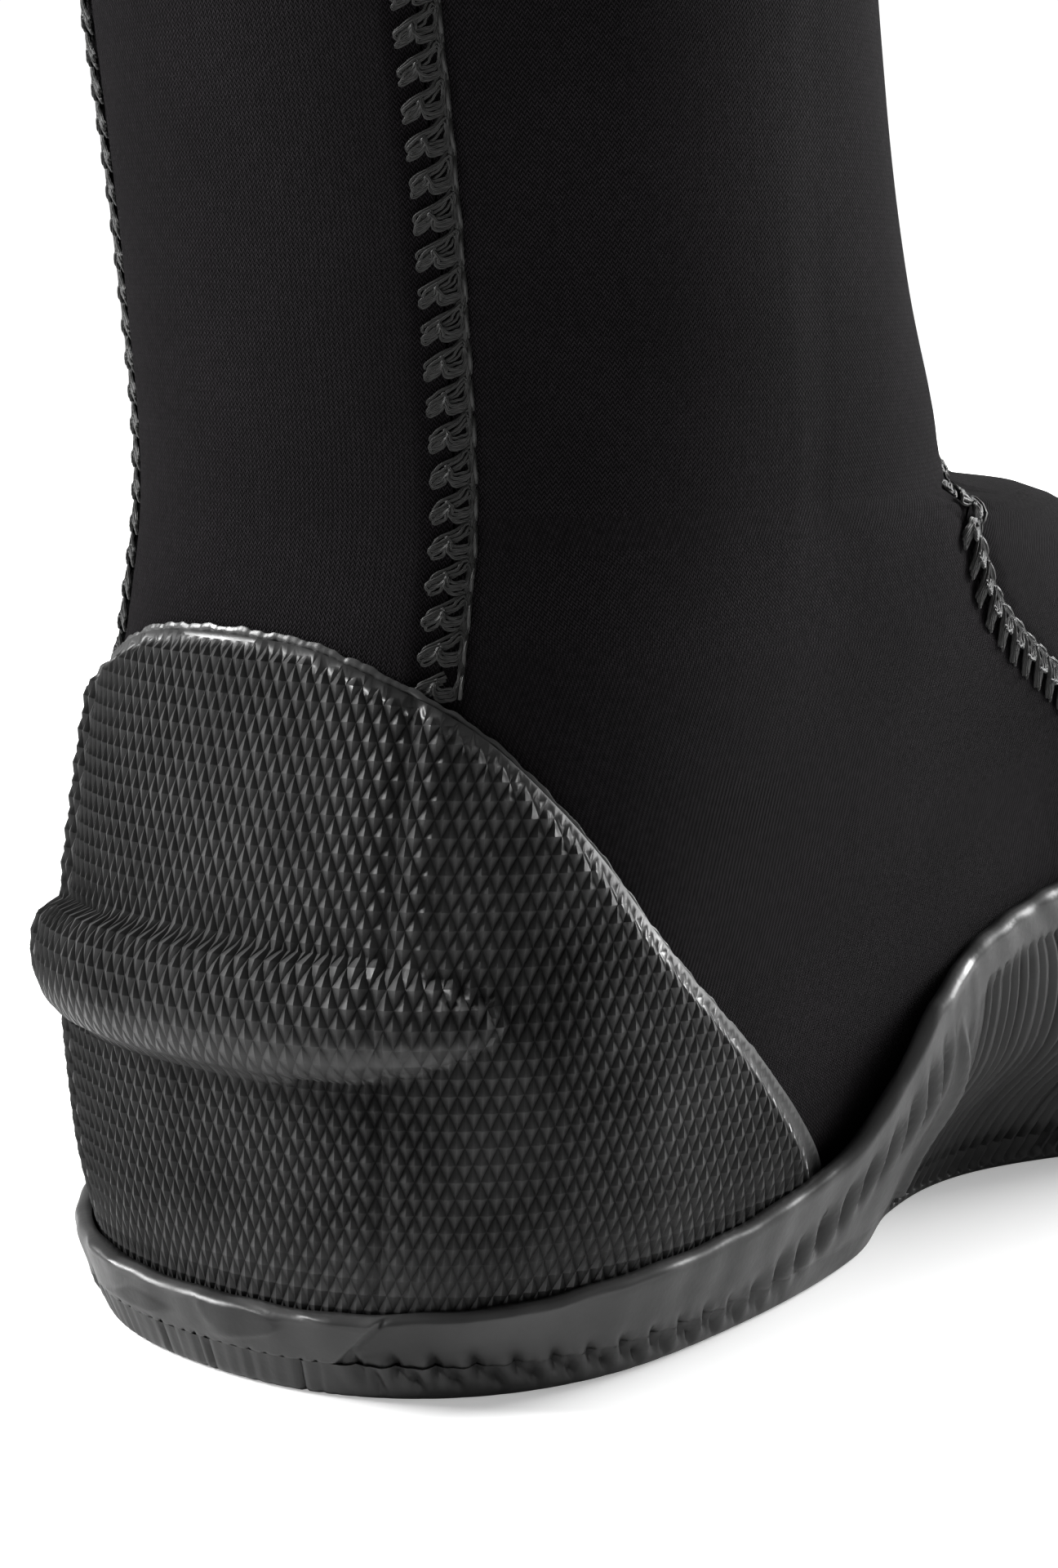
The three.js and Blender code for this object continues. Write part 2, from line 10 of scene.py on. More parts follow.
import bpy
import numpy as np
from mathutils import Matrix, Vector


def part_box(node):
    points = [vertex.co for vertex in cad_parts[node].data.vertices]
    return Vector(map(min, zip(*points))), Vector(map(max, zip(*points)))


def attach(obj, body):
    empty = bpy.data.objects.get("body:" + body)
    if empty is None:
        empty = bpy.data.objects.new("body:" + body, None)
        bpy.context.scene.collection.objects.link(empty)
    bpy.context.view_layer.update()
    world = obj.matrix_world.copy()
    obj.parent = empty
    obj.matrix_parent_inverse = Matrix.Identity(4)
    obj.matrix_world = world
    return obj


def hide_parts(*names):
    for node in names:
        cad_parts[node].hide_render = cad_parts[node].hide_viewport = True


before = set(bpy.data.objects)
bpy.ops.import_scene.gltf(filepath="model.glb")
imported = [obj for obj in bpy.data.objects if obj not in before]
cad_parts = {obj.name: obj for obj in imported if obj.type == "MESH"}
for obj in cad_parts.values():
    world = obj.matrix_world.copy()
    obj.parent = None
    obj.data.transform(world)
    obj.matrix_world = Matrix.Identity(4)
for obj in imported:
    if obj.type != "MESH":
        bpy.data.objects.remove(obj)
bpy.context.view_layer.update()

# %% [markdown]
# The boot's sizes are in millimetres, as a shoemaker writes them, and every mesh is turned into metres at
# the last moment. Heights that the frame already holds are read from the frame.

# %% Sizes
MM = 0.001


def node_top(node):
    """Highest point of a CAD node, in millimetres."""
    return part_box(node)[1].z / MM


boot_height = node_top("collar_binding")
sole_thickness = node_top("outsole")
foot_length = 283.0
heel_half_width = 38.0
ball_inner_width = 47.0
ball_outer_width = 54.0
collar_half_width = 45.0
collar_depth = 94.0
collar_lean = 8.0
throat_height = 88.0
throat_depth = 97.5
toe_height = 40.0
waist_pinch = 17.0
neoprene = 5.0
foxing_wall = 1.5
cup_wall = 1.5
clearance = 0.35
loose_fit = 0.75
cup_height = 75.0
cup_reach = 0.352
toe_cap_height = 50.0
toe_cap_reach = 0.19
toe_cap_side_height = 10.0
back_seam = 0.117
base = sole_thickness + clearance
over_cap = loose_fit + cup_wall
seam_top = throat_height + 2.5
panel_top = node_top("back_panel")
binding_low = panel_top - 10.0
throat_front = 7.5 + throat_depth
print(f"boot height {boot_height:.1f} mm, sole {sole_thickness:.1f} mm, panels end at {panel_top:.1f} mm")

# %% [markdown]
# ## The upper's surface
# A boot's upper is drawn over a last, so its outside is one smooth skin. It could be sculpted, or lofted
# through hand-made rings. Here it is a formula of two numbers: the girth v runs from 0 at the middle of the
# heel to 1 at the middle of the front, positive on the inner side of the foot and negative on the outer
# side, and z is the height over the ground. Seams and edges are then short lists in v and z.


# %% Smooth curves through stations
def curve(stations):
    """A smooth curve through (place, value) stations: a cubic between two stations, with a slope at each
    that is the weighted harmonic mean of the slopes beside it, so it never swings past a station."""
    xs, ys = np.array(stations, float).T
    step = np.diff(xs)
    rise = np.diff(ys) / step
    before = 2 * step[1:] + step[:-1]
    after = step[1:] + 2 * step[:-1]
    same_way = rise[:-1] * rise[1:] > 0
    first = np.where(same_way, rise[:-1], 1.0)
    second = np.where(same_way, rise[1:], 1.0)
    middle = np.where(same_way, (before + after) / (before / first + after / second), 0.0)
    slope = np.concatenate([rise[:1], middle, rise[-1:]])

    def value(x):
        x = np.asarray(x, float)
        i = np.clip(np.searchsorted(xs, x, side="right") - 1, 0, len(step) - 1)
        t = (x - xs[i]) / step[i]
        u = np.clip(t, 0.0, 1.0)
        inside = (1 + 2 * u) * (1 - u) ** 2 * ys[i] + u * (1 - u) ** 2 * step[i] * slope[i]
        inside = inside + u * u * (3 - 2 * u) * ys[i + 1] + u * u * (u - 1) * step[i] * slope[i + 1]
        below = np.minimum(t, 0.0) * step[i] * slope[i]
        above = np.maximum(t - 1.0, 0.0) * step[i] * slope[i + 1]
        return inside + below + above

    return value


def shaft(t):
    """A height between the throat (0) and the top of the collar (1)."""
    return throat_height + t * (boot_height - throat_height)


def instep(t):
    """A height between the top of the toe (0) and the throat (1)."""
    return toe_height + t * (throat_height - toe_height)


def ahead(t):
    """A place between the front of the throat (0) and the tip of the toe (1)."""
    return throat_front + t * (foot_length - throat_front)


# %% Outlines of the upper, slice by slice
tip = foot_length
hw, bi, bo, ch, wp = heel_half_width, ball_inner_width, ball_outer_width, collar_half_width, waist_pinch
back_line = curve([(0, 5), (8, 2.5), (20, 1), (38, 0), (55, 2), (75, 6), (throat_height, 7.5),
                   (shaft(0.135), 6), (shaft(0.36), 1), (shaft(0.68), 0.5 - collar_lean / 2),
                   (shaft(1), -collar_lean)])
front_line = curve([(0, tip - 15), (10, tip - 7), (20, tip), (30, tip - 1), (instep(0), ahead(0.933)),
                    (instep(0.185), ahead(0.79)), (instep(0.37), ahead(0.62)),
                    (instep(0.556), ahead(0.455)), (instep(0.704), ahead(0.33)),
                    (instep(0.852), ahead(0.215)), (instep(0.94), ahead(0.13)), (instep(1), throat_front),
                    (shaft(0.045), throat_front - 5), (shaft(0.13), throat_front - 12.5),
                    (shaft(0.25), throat_front - 18.5), (shaft(0.43), throat_front - 24),
                    (shaft(0.68), collar_depth - collar_lean - 5.5), (shaft(1), collar_depth - collar_lean)])
heel_round = curve([(0, 33), (20, 36), (40, 38), (60, 40), (90, 41), (120, 39), (250, 37)])
toe_round = curve([(0, 62), (20, 66), (30, 70), (instep(0), 85), (instep(0.185), 100),
                   (instep(0.37), 110), (instep(0.556), 106), (instep(0.74), 94), (instep(0.93), 72),
                   (shaft(0.04), 49), (shaft(0.17), 43), (shaft(1), 38)])
heel_squareness = curve([(0, 2.35), (60, 2.35), (100, 2.1), (250, 2)])
heel_half = curve([(0, hw - 8), (8, hw - 4.5), (20, hw - 1), (40, hw + 0.5), (60, hw), (shaft(0.04), hw + 1),
                   (shaft(0.49), ch - 4), (shaft(1), ch)])
ball_inner = curve([(0, bi - 7), (10, bi - 4), (22, bi), (instep(0), bi - 3), (instep(0.185), hw),
                    (instep(0.37), hw - 2), (instep(0.74), hw), (shaft(0.04), hw + 1), (shaft(1), ch)])
ball_outer = curve([(0, bo - 8), (10, bo - 4), (22, bo), (instep(0), bo - 4), (instep(0.185), hw + 4),
                    (instep(0.37), hw), (instep(0.74), hw), (shaft(0.04), hw + 1), (shaft(1), ch)])
arch_pinch = curve([(0, wp), (8, wp - 1), (20, wp - 6), (40, wp - 11), (60, 2), (80, 0), (250, 0)])
outer_pinch = curve([(0, 3), (20, 2), (40, 0), (250, 0)])
rear_part, front_part, front_squareness, least_straight, soft_step = 0.30, 0.66, 2.1, 6.0, 4.0
heel_end, ball_place, waist_place, waist_spread, toe_in = 50.0, foot_length - 98.0, 108.0, 32.0, 8.0


# %% The skin, its normals, and places beside it
def smoothstep(x, low, high):
    """0 below low, 1 above high, and the cubic 3t^2 - 2t^3 between them."""
    t = np.clip((x - low) / (high - low), 0.0, 1.0)
    return t * t * (3 - 2 * t)


def wrap(v):
    """Keeps a girth between -1 and 1, past the middle of the front."""
    return (np.asarray(v, float) + 1.0) % 2.0 - 1.0


def squared(c, power):
    """The part of a squared-off circle that a cosine or sine gives: c to the power 2/power."""
    return np.clip(c, 0.0, 1.0) ** (2.0 / power)


def skin(girth, z):
    """The upper's outer surface: at each height, a squared-off quarter turn for the heel, a straight side
    and a quarter turn for the front, as wide as the heel and the ball of the foot say. The front turn takes
    the length it wants, or what the heel leaves, and a soft minimum blends the two."""
    v = wrap(girth)
    z = np.asarray(z, float)
    s = np.abs(v)
    back, front = back_line(z), front_line(z)
    rear = heel_round(z)
    room = front - back - rear - least_straight
    wanted = (toe_round(z - 6) + toe_round(z) + toe_round(z + 6)) / 3
    fore = room - soft_step * np.log1p(np.exp((room - wanted) / soft_step))
    rear_turn = np.clip(s / rear_part, 0, 1) * np.pi / 2
    front_turn = np.clip((1 - s) / (1 - front_part), 0, 1) * np.pi / 2
    along = np.clip((s - rear_part) / (front_part - rear_part), 0, 1)
    power = heel_squareness(z)
    y = back + rear + (front - fore - back - rear) * along
    y = np.where(s < rear_part, back + rear * (1 - squared(np.cos(rear_turn), power)), y)
    y = np.where(s > front_part, front - fore * (1 - squared(np.cos(front_turn), front_squareness)), y)
    ball = smoothstep(y, heel_end, ball_place)
    waist = np.exp(-(((y - waist_place) / waist_spread) ** 2))
    inner = heel_half(z) * (1 - ball) + ball_inner(z) * ball - arch_pinch(z) * waist
    outer = heel_half(z) * (1 - ball) + ball_outer(z) * ball - outer_pinch(z) * waist
    wide = np.where(v >= 0, inner, -outer)
    middle = toe_in * np.clip((y - 150) / 100, 0, 1)
    x = np.where(s < rear_part, wide * squared(np.sin(rear_turn), power), wide)
    rounded = middle + (wide - middle) * squared(np.sin(front_turn), front_squareness)
    x = np.where(s > front_part, rounded, x)
    return np.stack(np.broadcast_arrays(x, y, z), axis=-1)


def soft_average(v, z):
    """The skin averaged over a little of the girth, which rounds the places where one curve meets the
    next."""
    weights = np.array([0.08, 0.24, 0.36, 0.24, 0.08])
    steps = np.array([-0.036, -0.018, 0.0, 0.018, 0.036])
    return sum(weight * skin(v + step, z) for weight, step in zip(weights, steps))


def unit(vectors):
    """Each vector divided by its length."""
    return vectors / np.maximum(np.linalg.norm(vectors, axis=-1, keepdims=True), 1e-9)


def tangents(v, z):
    """The surface's slopes along the girth and up, from central differences."""
    small_v, small_z = 0.001, 0.05
    along = (soft_average(v + small_v, z) - soft_average(v - small_v, z)) / (2 * small_v)
    up = (soft_average(v, z + small_z) - soft_average(v, z - small_z)) / (2 * small_z)
    return along, up


def normal(v, z):
    """The outward normal; under the widest part it stays level, so that walls end square on the sole."""
    along, up = tangents(v, z)
    n = unit(np.cross(along, up))
    n[..., 2] = np.maximum(n[..., 2], 0.0)
    return unit(n)


def at(v, z, distance):
    """The skin at (v, z), moved out along its normal."""
    v, z, distance = np.broadcast_arrays(*(np.asarray(a, float) for a in (v, z, distance)))
    return soft_average(v, z) + normal(v, z) * distance[..., None]


# %% Seams and edges in v and z
vamp_seam = curve([(0, 0.56), (36, 0.575), (45, 0.59), (instep(0.26), 0.64), (instep(0.484), 0.684),
                   (instep(0.608), 0.693), (instep(0.754), 0.703), (instep(0.91), 0.72),
                   (instep(0.985), 0.78), (throat_height + 1, 0.84), (seam_top, 0.93)])
cup_edge = curve([(0, cup_height), (0.034, cup_height - 0.4), (0.104, cup_height - 4.8),
                  (0.138, cup_height - 8), (0.194, 58.5), (0.245, 47.8), (0.301, 34.5), (0.34, 17),
                  (cup_reach, base + 5)])
foxing_top = curve([(0, 9), (0.118, 9.5), (0.217, 11.2), (0.307, 13.2), (0.339, 16.2), (0.361, 23.5),
                    (0.377, 31), (0.401, 34.8), (0.453, 39.5), (0.5, 41), (0.58, 39), (0.66, 35),
                    (0.75, 30), (0.85, 27), (1, 26)])


def foxing_inside(v):
    """How far the inside of the sole strip stands off the neoprene: over the caps, or close between them."""
    s = np.abs(wrap(v))
    off_cup = smoothstep(s, cup_reach + 0.02, cup_reach + 0.055)
    on_toe = smoothstep(s, 1 - toe_cap_reach - 0.06, 1 - toe_cap_reach - 0.02)
    return clearance + loose_fit + (over_cap - clearance) * (1 - off_cup * (1 - on_toe))


def foxing_outside(v):
    """The outer face of the sole strip, and of the outsole under it."""
    return foxing_inside(v) + foxing_wall


# %% Where the boot stands in the frame
# The same outline is laid round the CAD outsole. The middle of its box, against the middle of the node's
# box, says how far the boot's own coordinates are from the frame's.
outline = np.vstack([at(np.arange(88) / 44.0, z, foxing_outside(np.arange(88) / 44.0)) for z in (0.8, 4.0)])
low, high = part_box("outsole")
frame_middle = np.array([low.x + high.x, low.y + high.y, 0.0]) / 2 / MM
own_middle = (outline.min(0) + outline.max(0)) / 2 * (1, 1, 0)
shift = frame_middle - own_middle
print("shift of the boot's coordinates, mm:", np.round(shift, 3))

# %% [markdown]
# ## Camera, light and floor
# The camera looks from behind and above the inner ankle, close to the heel. The studio is a white floor
# under a soft lamp at the upper left. Two more stand ahead of the toe and outline the instep and the vamp.
# The sky is white to the camera and dim to the boot, because a sky of full strength would wash out the
# black cloth.

# %% Camera
scene = bpy.context.scene
camera_from_boot = np.array([223.3, -196.9, 110.0])
camera_place = (camera_from_boot + shift) * MM
camera_turn = math.radians(42.0)
camera_tilt = math.radians(9.5)
camera_data = bpy.data.cameras.new("camera")
camera_data.lens = 69.6
camera_data.sensor_width = 36.0
camera_data.clip_start = 0.01
camera = bpy.data.objects.new("camera", camera_data)
camera.location = camera_place
camera.rotation_euler = (math.pi / 2 - camera_tilt, 0.0, camera_turn)
scene.collection.objects.link(camera)
scene.camera = camera
print("camera at", np.round(camera_place, 4))


# %% Lamps and world
def area_lamp(name, place, aim, size, power):
    """A square soft lamp at a place, turned to face a point."""
    data = bpy.data.lights.new(name, "AREA")
    data.shape = "SQUARE"
    data.size = size
    data.energy = power
    lamp = bpy.data.objects.new(name, data)
    direction = Vector(aim) - Vector(place)
    lamp.location = place
    lamp.rotation_euler = direction.to_track_quat("-Z", "Y").to_euler()
    scene.collection.objects.link(lamp)
    return lamp


boot_middle = (0.0, -0.03, 0.10)
area_lamp("key_lamp", (-1.25, -0.95, 0.95), boot_middle, 0.7, 58.0)
area_lamp("toe_lamp", (0.45, 1.5, 0.8), boot_middle, 0.9, 60.0)
area_lamp("back_lamp", (-0.5, 1.2, 1.3), boot_middle, 1.2, 12.0)

world = bpy.data.worlds.new("studio")
scene.world = world
world.use_nodes = True
sky = world.node_tree.nodes["Background"]
sky.inputs["Color"].default_value = (1.0, 1.0, 1.0, 1.0)
seen = world.node_tree.nodes.new("ShaderNodeLightPath").outputs["Is Camera Ray"]
strength = world.node_tree.nodes.new("ShaderNodeMapRange")
sky_for_boot, sky_for_camera = 0.17, 1.1
strength.inputs["To Min"].default_value = sky_for_boot
strength.inputs["To Max"].default_value = sky_for_camera
world.node_tree.links.new(seen, strength.inputs["Value"])
world.node_tree.links.new(strength.outputs[0], sky.inputs["Strength"])
scene.view_settings.view_transform = "Standard"
scene.view_settings.look = "None"


# %% [markdown]
# ## Material helpers
# Each finish is a small graph of nodes. A pattern that follows the cloth reads the piece's UV map, which
# is measured in millimetres along the girth and up; on the knurled caps it counts diamonds instead. Grain
# and stains read Object coordinates, which stay put on the piece because every object sits at the origin.


# %% Small helpers for nodes
def new_finish(name, colour, roughness, specular=0.5):
    """A material with its own colour, roughness and specular level set on the shader."""
    material = bpy.data.materials.new(name)
    material.use_nodes = True
    shader = material.node_tree.nodes["Principled BSDF"]
    shader.inputs["Base Color"].default_value = (*colour, 1.0)
    shader.inputs["Roughness"].default_value = roughness
    shader.inputs["Specular IOR Level"].default_value = specular
    return material


def add_node(material, kind, settings=None, **inputs):
    """Adds one node. A setting is an attribute of the node, and an input is a number or another socket."""
    tree = material.node_tree
    node = tree.nodes.new(kind)
    for key, value in (settings or {}).items():
        setattr(node, key, value)
    for key, value in inputs.items():
        socket = node.inputs[int(key[1:])] if key[0] == "i" and key[1:].isdigit() else node.inputs[key]
        if isinstance(value, bpy.types.NodeSocket):
            tree.links.new(value, socket)
        else:
            socket.default_value = value
    return node


def calc(material, operation, a, b=0.0, c=0.0):
    """One Math node; its numbers may be sockets."""
    return add_node(material, "ShaderNodeMath", {"operation": operation}, i0=a, i1=b, i2=c).outputs[0]


def object_noise(material, scale, detail=3.0, stretch=(1.0, 1.0, 1.0)):
    """Noise on Object coordinates: scale is in cells to the metre."""
    coordinates = add_node(material, "ShaderNodeTexCoord").outputs["Object"]
    placed = add_node(material, "ShaderNodeMapping", None, Vector=coordinates, Scale=stretch).outputs[0]
    noise = add_node(material, "ShaderNodeTexNoise", None, Vector=placed, Scale=scale, Detail=detail)
    return noise.outputs["Fac"]


def spread(material, fac, low, high, to_low=0.0, to_high=1.0):
    """Maps a value from one range to another and keeps it inside."""
    node = add_node(material, "ShaderNodeMapRange", None, Value=fac)
    for name, value in zip(("From Min", "From Max", "To Min", "To Max"), (low, high, to_low, to_high)):
        node.inputs[name].default_value = value
    return node.outputs[0]


def blend_colours(material, fac, first, second):
    """Mixes two colours, each a triple or a socket."""
    node = add_node(material, "ShaderNodeMix", {"data_type": "RGBA"}, Factor=fac)
    for socket, colour in ((node.inputs[6], first), (node.inputs[7], second)):
        if isinstance(colour, bpy.types.NodeSocket):
            material.node_tree.links.new(colour, socket)
        else:
            socket.default_value = (*colour, 1.0)
    return node.outputs[2]


def wire(material, socket_name, value):
    """Feeds a socket of the shader."""
    shader = material.node_tree.nodes["Principled BSDF"]
    material.node_tree.links.new(value, shader.inputs[socket_name])


def add_bump(material, *layers):
    """Bumps on top of each other: each layer is (height, distance in metres, strength)."""
    last = None
    for height, distance, strength in layers:
        node = add_node(material, "ShaderNodeBump", None, Height=height, Distance=distance, Strength=strength)
        if last is not None:
            material.node_tree.links.new(last, node.inputs["Normal"])
        last = node.outputs[0]
    wire(material, "Normal", last)


# %% [markdown]
# ## The finishes
# Neoprene is foam with a knitted jersey glued to each face. The jersey's columns of loops stand about half
# a millimetre apart. It could be an image of cloth, but a few Math nodes on the UV map draw the loops at
# any distance: two strokes that lean into each other make each stitch a small v.


# %% Knitted cloth
def knit_height(material, wale, course):
    """The height of a knitted face: each column of loops is a ridge, and each loop leans to its middle."""
    uv = add_node(material, "ShaderNodeUVMap", {"uv_map": "cloth"}).outputs[0]
    parts = add_node(material, "ShaderNodeSeparateXYZ", None, Vector=uv).outputs
    column = calc(material, "FRACT", calc(material, "DIVIDE", parts[0], wale))
    off_middle = calc(material, "ABSOLUTE", calc(material, "SUBTRACT", column, 0.5))
    lean = calc(material, "MULTIPLY", off_middle, 2.0)
    leaning = calc(material, "MULTIPLY", lean, 0.9)
    row = calc(material, "ADD", calc(material, "DIVIDE", parts[1], course), leaning)
    loop = calc(material, "ABSOLUTE", calc(material, "SUBTRACT", calc(material, "FRACT", row), 0.5))
    loop = calc(material, "SUBTRACT", 1.0, calc(material, "MULTIPLY", loop, 2.0))
    between = calc(material, "MULTIPLY", calc(material, "POWER", lean, 4.0), 0.6)
    rib = calc(material, "SUBTRACT", 1.0, between)
    return calc(material, "MULTIPLY", loop, rib)


def knit_finish(name, colour, wale, course, depth, roughness=0.92):
    """Knitted nylon with almost no gloss: the colour between the loops is darkened as painted shade, and it
    is lighter in clouds where it is rubbed. wale and course are the width and the height of a loop, in
    millimetres."""
    material = new_finish(name, colour, roughness, 0.06)
    uneven = spread(material, object_noise(material, 1300.0, 2.0), 0.3, 0.7, 0.45, 1.25)
    height = calc(material, "MULTIPLY", knit_height(material, wale, course), uneven)
    cloudy = object_noise(material, 45.0, 4.0)
    # Painted shade: between the loops the colour falls to 0.06 of the cloth's colour.
    dark = tuple(0.06 * c for c in colour)
    bright = tuple(1.5 * c for c in colour)
    rubbed = blend_colours(material, spread(material, cloudy, 0.35, 0.7), colour, bright)
    wire(material, "Base Color", blend_colours(material, height, dark, rubbed))
    add_bump(material, (height, depth * MM, 1.0), (object_noise(material, 900.0, 2.0), 0.06 * MM, 0.5))
    return material


knit = knit_finish("knitted_neoprene", (0.026, 0.023, 0.026), 0.54, 0.5, 0.42)
binding_cloth = knit_finish("binding_jersey", (0.026, 0.025, 0.027), 0.6, 0.6, 0.14)
footbed_cloth = knit_finish("footbed_jersey", (0.045, 0.045, 0.05), 0.9, 0.8, 0.2)
tape_cloth = knit_finish("seam_tape_jersey", (0.022, 0.022, 0.025), 0.7, 0.5, 0.1)


# %% [markdown]
# Rubber is moulded black and goes grey with handling. Its crests are rubbed lighter, and its hollows are
# darkened as painted shade. The meshes carry a number called crest, 0 in a hollow and 1 on a crest, that the
# finish reads.


# %% Rubber
def knurl_height(material):
    """The diamonds of diamonds() again as nodes, so that their faces stay flat and their edges sharp between
    the points of the mesh. The UV map counts whole diamonds."""
    uv = add_node(material, "ShaderNodeUVMap", {"uv_map": "cloth"}).outputs[0]
    parts = add_node(material, "ShaderNodeSeparateXYZ", None, Vector=uv).outputs
    p = calc(material, "MULTIPLY", calc(material, "PINGPONG", parts[0], 0.5), 2.0)
    q = calc(material, "MULTIPLY", calc(material, "PINGPONG", parts[1], 0.5), 2.0)
    total = calc(material, "ADD", p, q)
    away = calc(material, "MINIMUM", total, calc(material, "SUBTRACT", 2.0, total))
    return calc(material, "SUBTRACT", 1.0, away)


def rubber_finish(name, dull, worn, roughness, grain, gloss_patches=0.12, knurl=0.0):
    """Moulded rubber: two greys mixed by the crest number and by stains, and a fine uneven face. The dark
    grey in the hollows is painted shade, and the light grey on the crests is wear. With a knurl, the crest
    number says how strong the diamonds are there, and their valleys take the painted shade."""
    material = new_finish(name, dull, roughness, 0.4)
    crest = add_node(material, "ShaderNodeAttribute", {"attribute_name": "crest"}).outputs["Fac"]
    layers = []
    if knurl:
        lattice = calc(material, "MULTIPLY", knurl_height(material), crest)
        layers.append((lattice, knurl * MM, 1.0))
        # The diamonds' valleys take the dark grey as painted shade, and their tips the light grey as wear.
        flat = spread(material, crest, 0.0, 1.0, 0.45, 0.0)
        crest = calc(material, "ADD", flat, calc(material, "POWER", lattice, 0.7))
    stains = spread(material, object_noise(material, 70.0, 5.0), 0.3, 0.75, -0.25, 0.25)
    # Painted shade in the hollows and wear on the crests, with stains on top.
    wear_and_painted_shade = calc(material, "ADD", crest, stains)
    wear_and_painted_shade.node.use_clamp = True
    wire(material, "Base Color", blend_colours(material, wear_and_painted_shade, dull, worn))
    gloss = spread(material, object_noise(material, 120.0, 4.0), 0.35, 0.7, roughness - gloss_patches,
                   roughness + gloss_patches)
    wire(material, "Roughness", gloss)
    layers.append((object_noise(material, 1400.0, 4.0), grain * MM, 0.6))
    layers.append((object_noise(material, 260.0, 3.0), 2 * grain * MM, 0.35))
    add_bump(material, *layers)
    return material


knurl_rubber = rubber_finish("knurled_cup_rubber", (0.005, 0.005, 0.005), (0.062, 0.062, 0.062), 0.44, 0.04,
                             knurl=1.1)
strip_rubber = rubber_finish("sole_strip_rubber", (0.010, 0.010, 0.010), (0.060, 0.060, 0.060), 0.40, 0.05)
tread_rubber = rubber_finish("outsole_tread_rubber", (0.010, 0.010, 0.010), (0.052, 0.052, 0.052), 0.46, 0.06)
cement = rubber_finish("dried_cement", (0.02, 0.02, 0.02), (0.075, 0.075, 0.075), 0.36, 0.08, 0.1)


# %% Thread, foam and board
def thread_finish():
    """Bonded nylon thread: fine plies round it, darker between the plies as painted shade, a soft gloss,
    nearly black.
    """
    material = new_finish("bonded_thread", (0.020, 0.020, 0.020), 0.4, 0.45)
    uv = add_node(material, "ShaderNodeUVMap", {"uv_map": "cloth"}).outputs[0]
    parts = add_node(material, "ShaderNodeSeparateXYZ", None, Vector=uv).outputs
    along = calc(material, "MULTIPLY", parts[0], 5.0)
    slanted = calc(material, "ADD", along, calc(material, "MULTIPLY", parts[1], 9.0))
    plies = calc(material, "SINE", slanted)
    # The ply relief also darkens the colour in the grooves between the plies, as painted shade.
    ply_relief_and_shade = spread(material, plies, -1.0, 1.0)
    wire(material, "Base Color", blend_colours(material, ply_relief_and_shade, (0.003, 0.003, 0.003), (0.020, 0.020, 0.019)))
    add_bump(material, (ply_relief_and_shade, 0.05 * MM, 0.8))
    return material


def grainy_finish(name, dark, light, scale, roughness, grain):
    """A foam or fibre board: a grain of cells of two tones."""
    material = new_finish(name, dark, roughness, 0.3)
    cells = object_noise(material, scale, 5.0)
    wire(material, "Base Color", blend_colours(material, spread(material, cells, 0.3, 0.7), dark, light))
    add_bump(material, (cells, grain * MM, 0.7))
    return material


sewing_thread = thread_finish()
foam = grainy_finish("cork_filler_foam", (0.06, 0.06, 0.065), (0.11, 0.11, 0.12), 1500.0, 0.9, 0.15)
board = grainy_finish("fibre_board", (0.20, 0.18, 0.14), (0.34, 0.31, 0.25), 700.0, 0.85, 0.08)
print("finishes:", len(bpy.data.materials))


# %% [markdown]
# ## Mesh helpers
# A piece is a grid of points. Where an edge crosses the grid, the nearest point of each row is pulled onto
# it and the rest of the row is left out, so the edge is clean and the pattern inside isn't bent. A second
# copy of the grid further in, joined round the rim, gives the piece its wall.


# %% Grids, rims and closed walls
def grid_faces(rows, columns, first=None, last=None, ring=False, slant=None):
    """Two triangles for each cell of a grid. first and last give each row's end columns, and slant says
    which cells are split along their other diagonal. Triangles with no area are dropped."""
    j, i = np.mgrid[0:rows - 1, 0:columns if ring else columns - 1]
    first = np.zeros(rows, int) if first is None else first
    last = np.full(rows, columns if ring else columns - 1) if last is None else last

    def corner(row, column):
        held = np.clip(column, first[row], last[row])
        return row * columns + held % columns

    a, b, c, d = corner(j, i), corner(j, i + 1), corner(j + 1, i + 1), corner(j + 1, i)
    slant = np.zeros(a.shape, bool) if slant is None else slant
    one = np.where(slant[..., None], np.stack([a, b, d], -1), np.stack([a, b, c], -1))
    two = np.where(slant[..., None], np.stack([b, c, d], -1), np.stack([a, c, d], -1))
    faces = np.concatenate([one.reshape(-1, 3), two.reshape(-1, 3)])
    real = (faces[:, 0] != faces[:, 1]) & (faces[:, 1] != faces[:, 2]) & (faces[:, 0] != faces[:, 2])
    return faces[real]


def walled(outer, inner, faces):
    """A closed wall: the outer faces, the same faces turned over on the inner points, and a rim."""
    count = len(outer)
    edges = np.concatenate([faces[:, [0, 1]], faces[:, [1, 2]], faces[:, [2, 0]]])
    keys = np.sort(edges, axis=1) @ np.array([count, 1])
    _, place, times = np.unique(keys, return_index=True, return_counts=True)
    a, b = edges[place[times == 1]].T
    rim = np.concatenate([np.stack([b, a, a + count], -1), np.stack([b, a + count, b + count], -1)])
    return np.concatenate([outer, inner]), np.concatenate([faces, faces[:, ::-1] + count, rim])


def welded(points, faces, *values):
    """Merges points in the same place, drops faces that lose their area, and leaves out unused points."""
    _, kept, where = np.unique(np.round(points, 4), axis=0, return_index=True, return_inverse=True)
    faces = where.reshape(-1)[faces]
    real = (faces[:, 0] != faces[:, 1]) & (faces[:, 1] != faces[:, 2]) & (faces[:, 0] != faces[:, 2])
    faces = faces[real]
    used, faces = np.unique(faces, return_inverse=True)
    kept = kept[used]
    return (points[kept], faces.reshape(-1, 3), *(value[kept] for value in values))


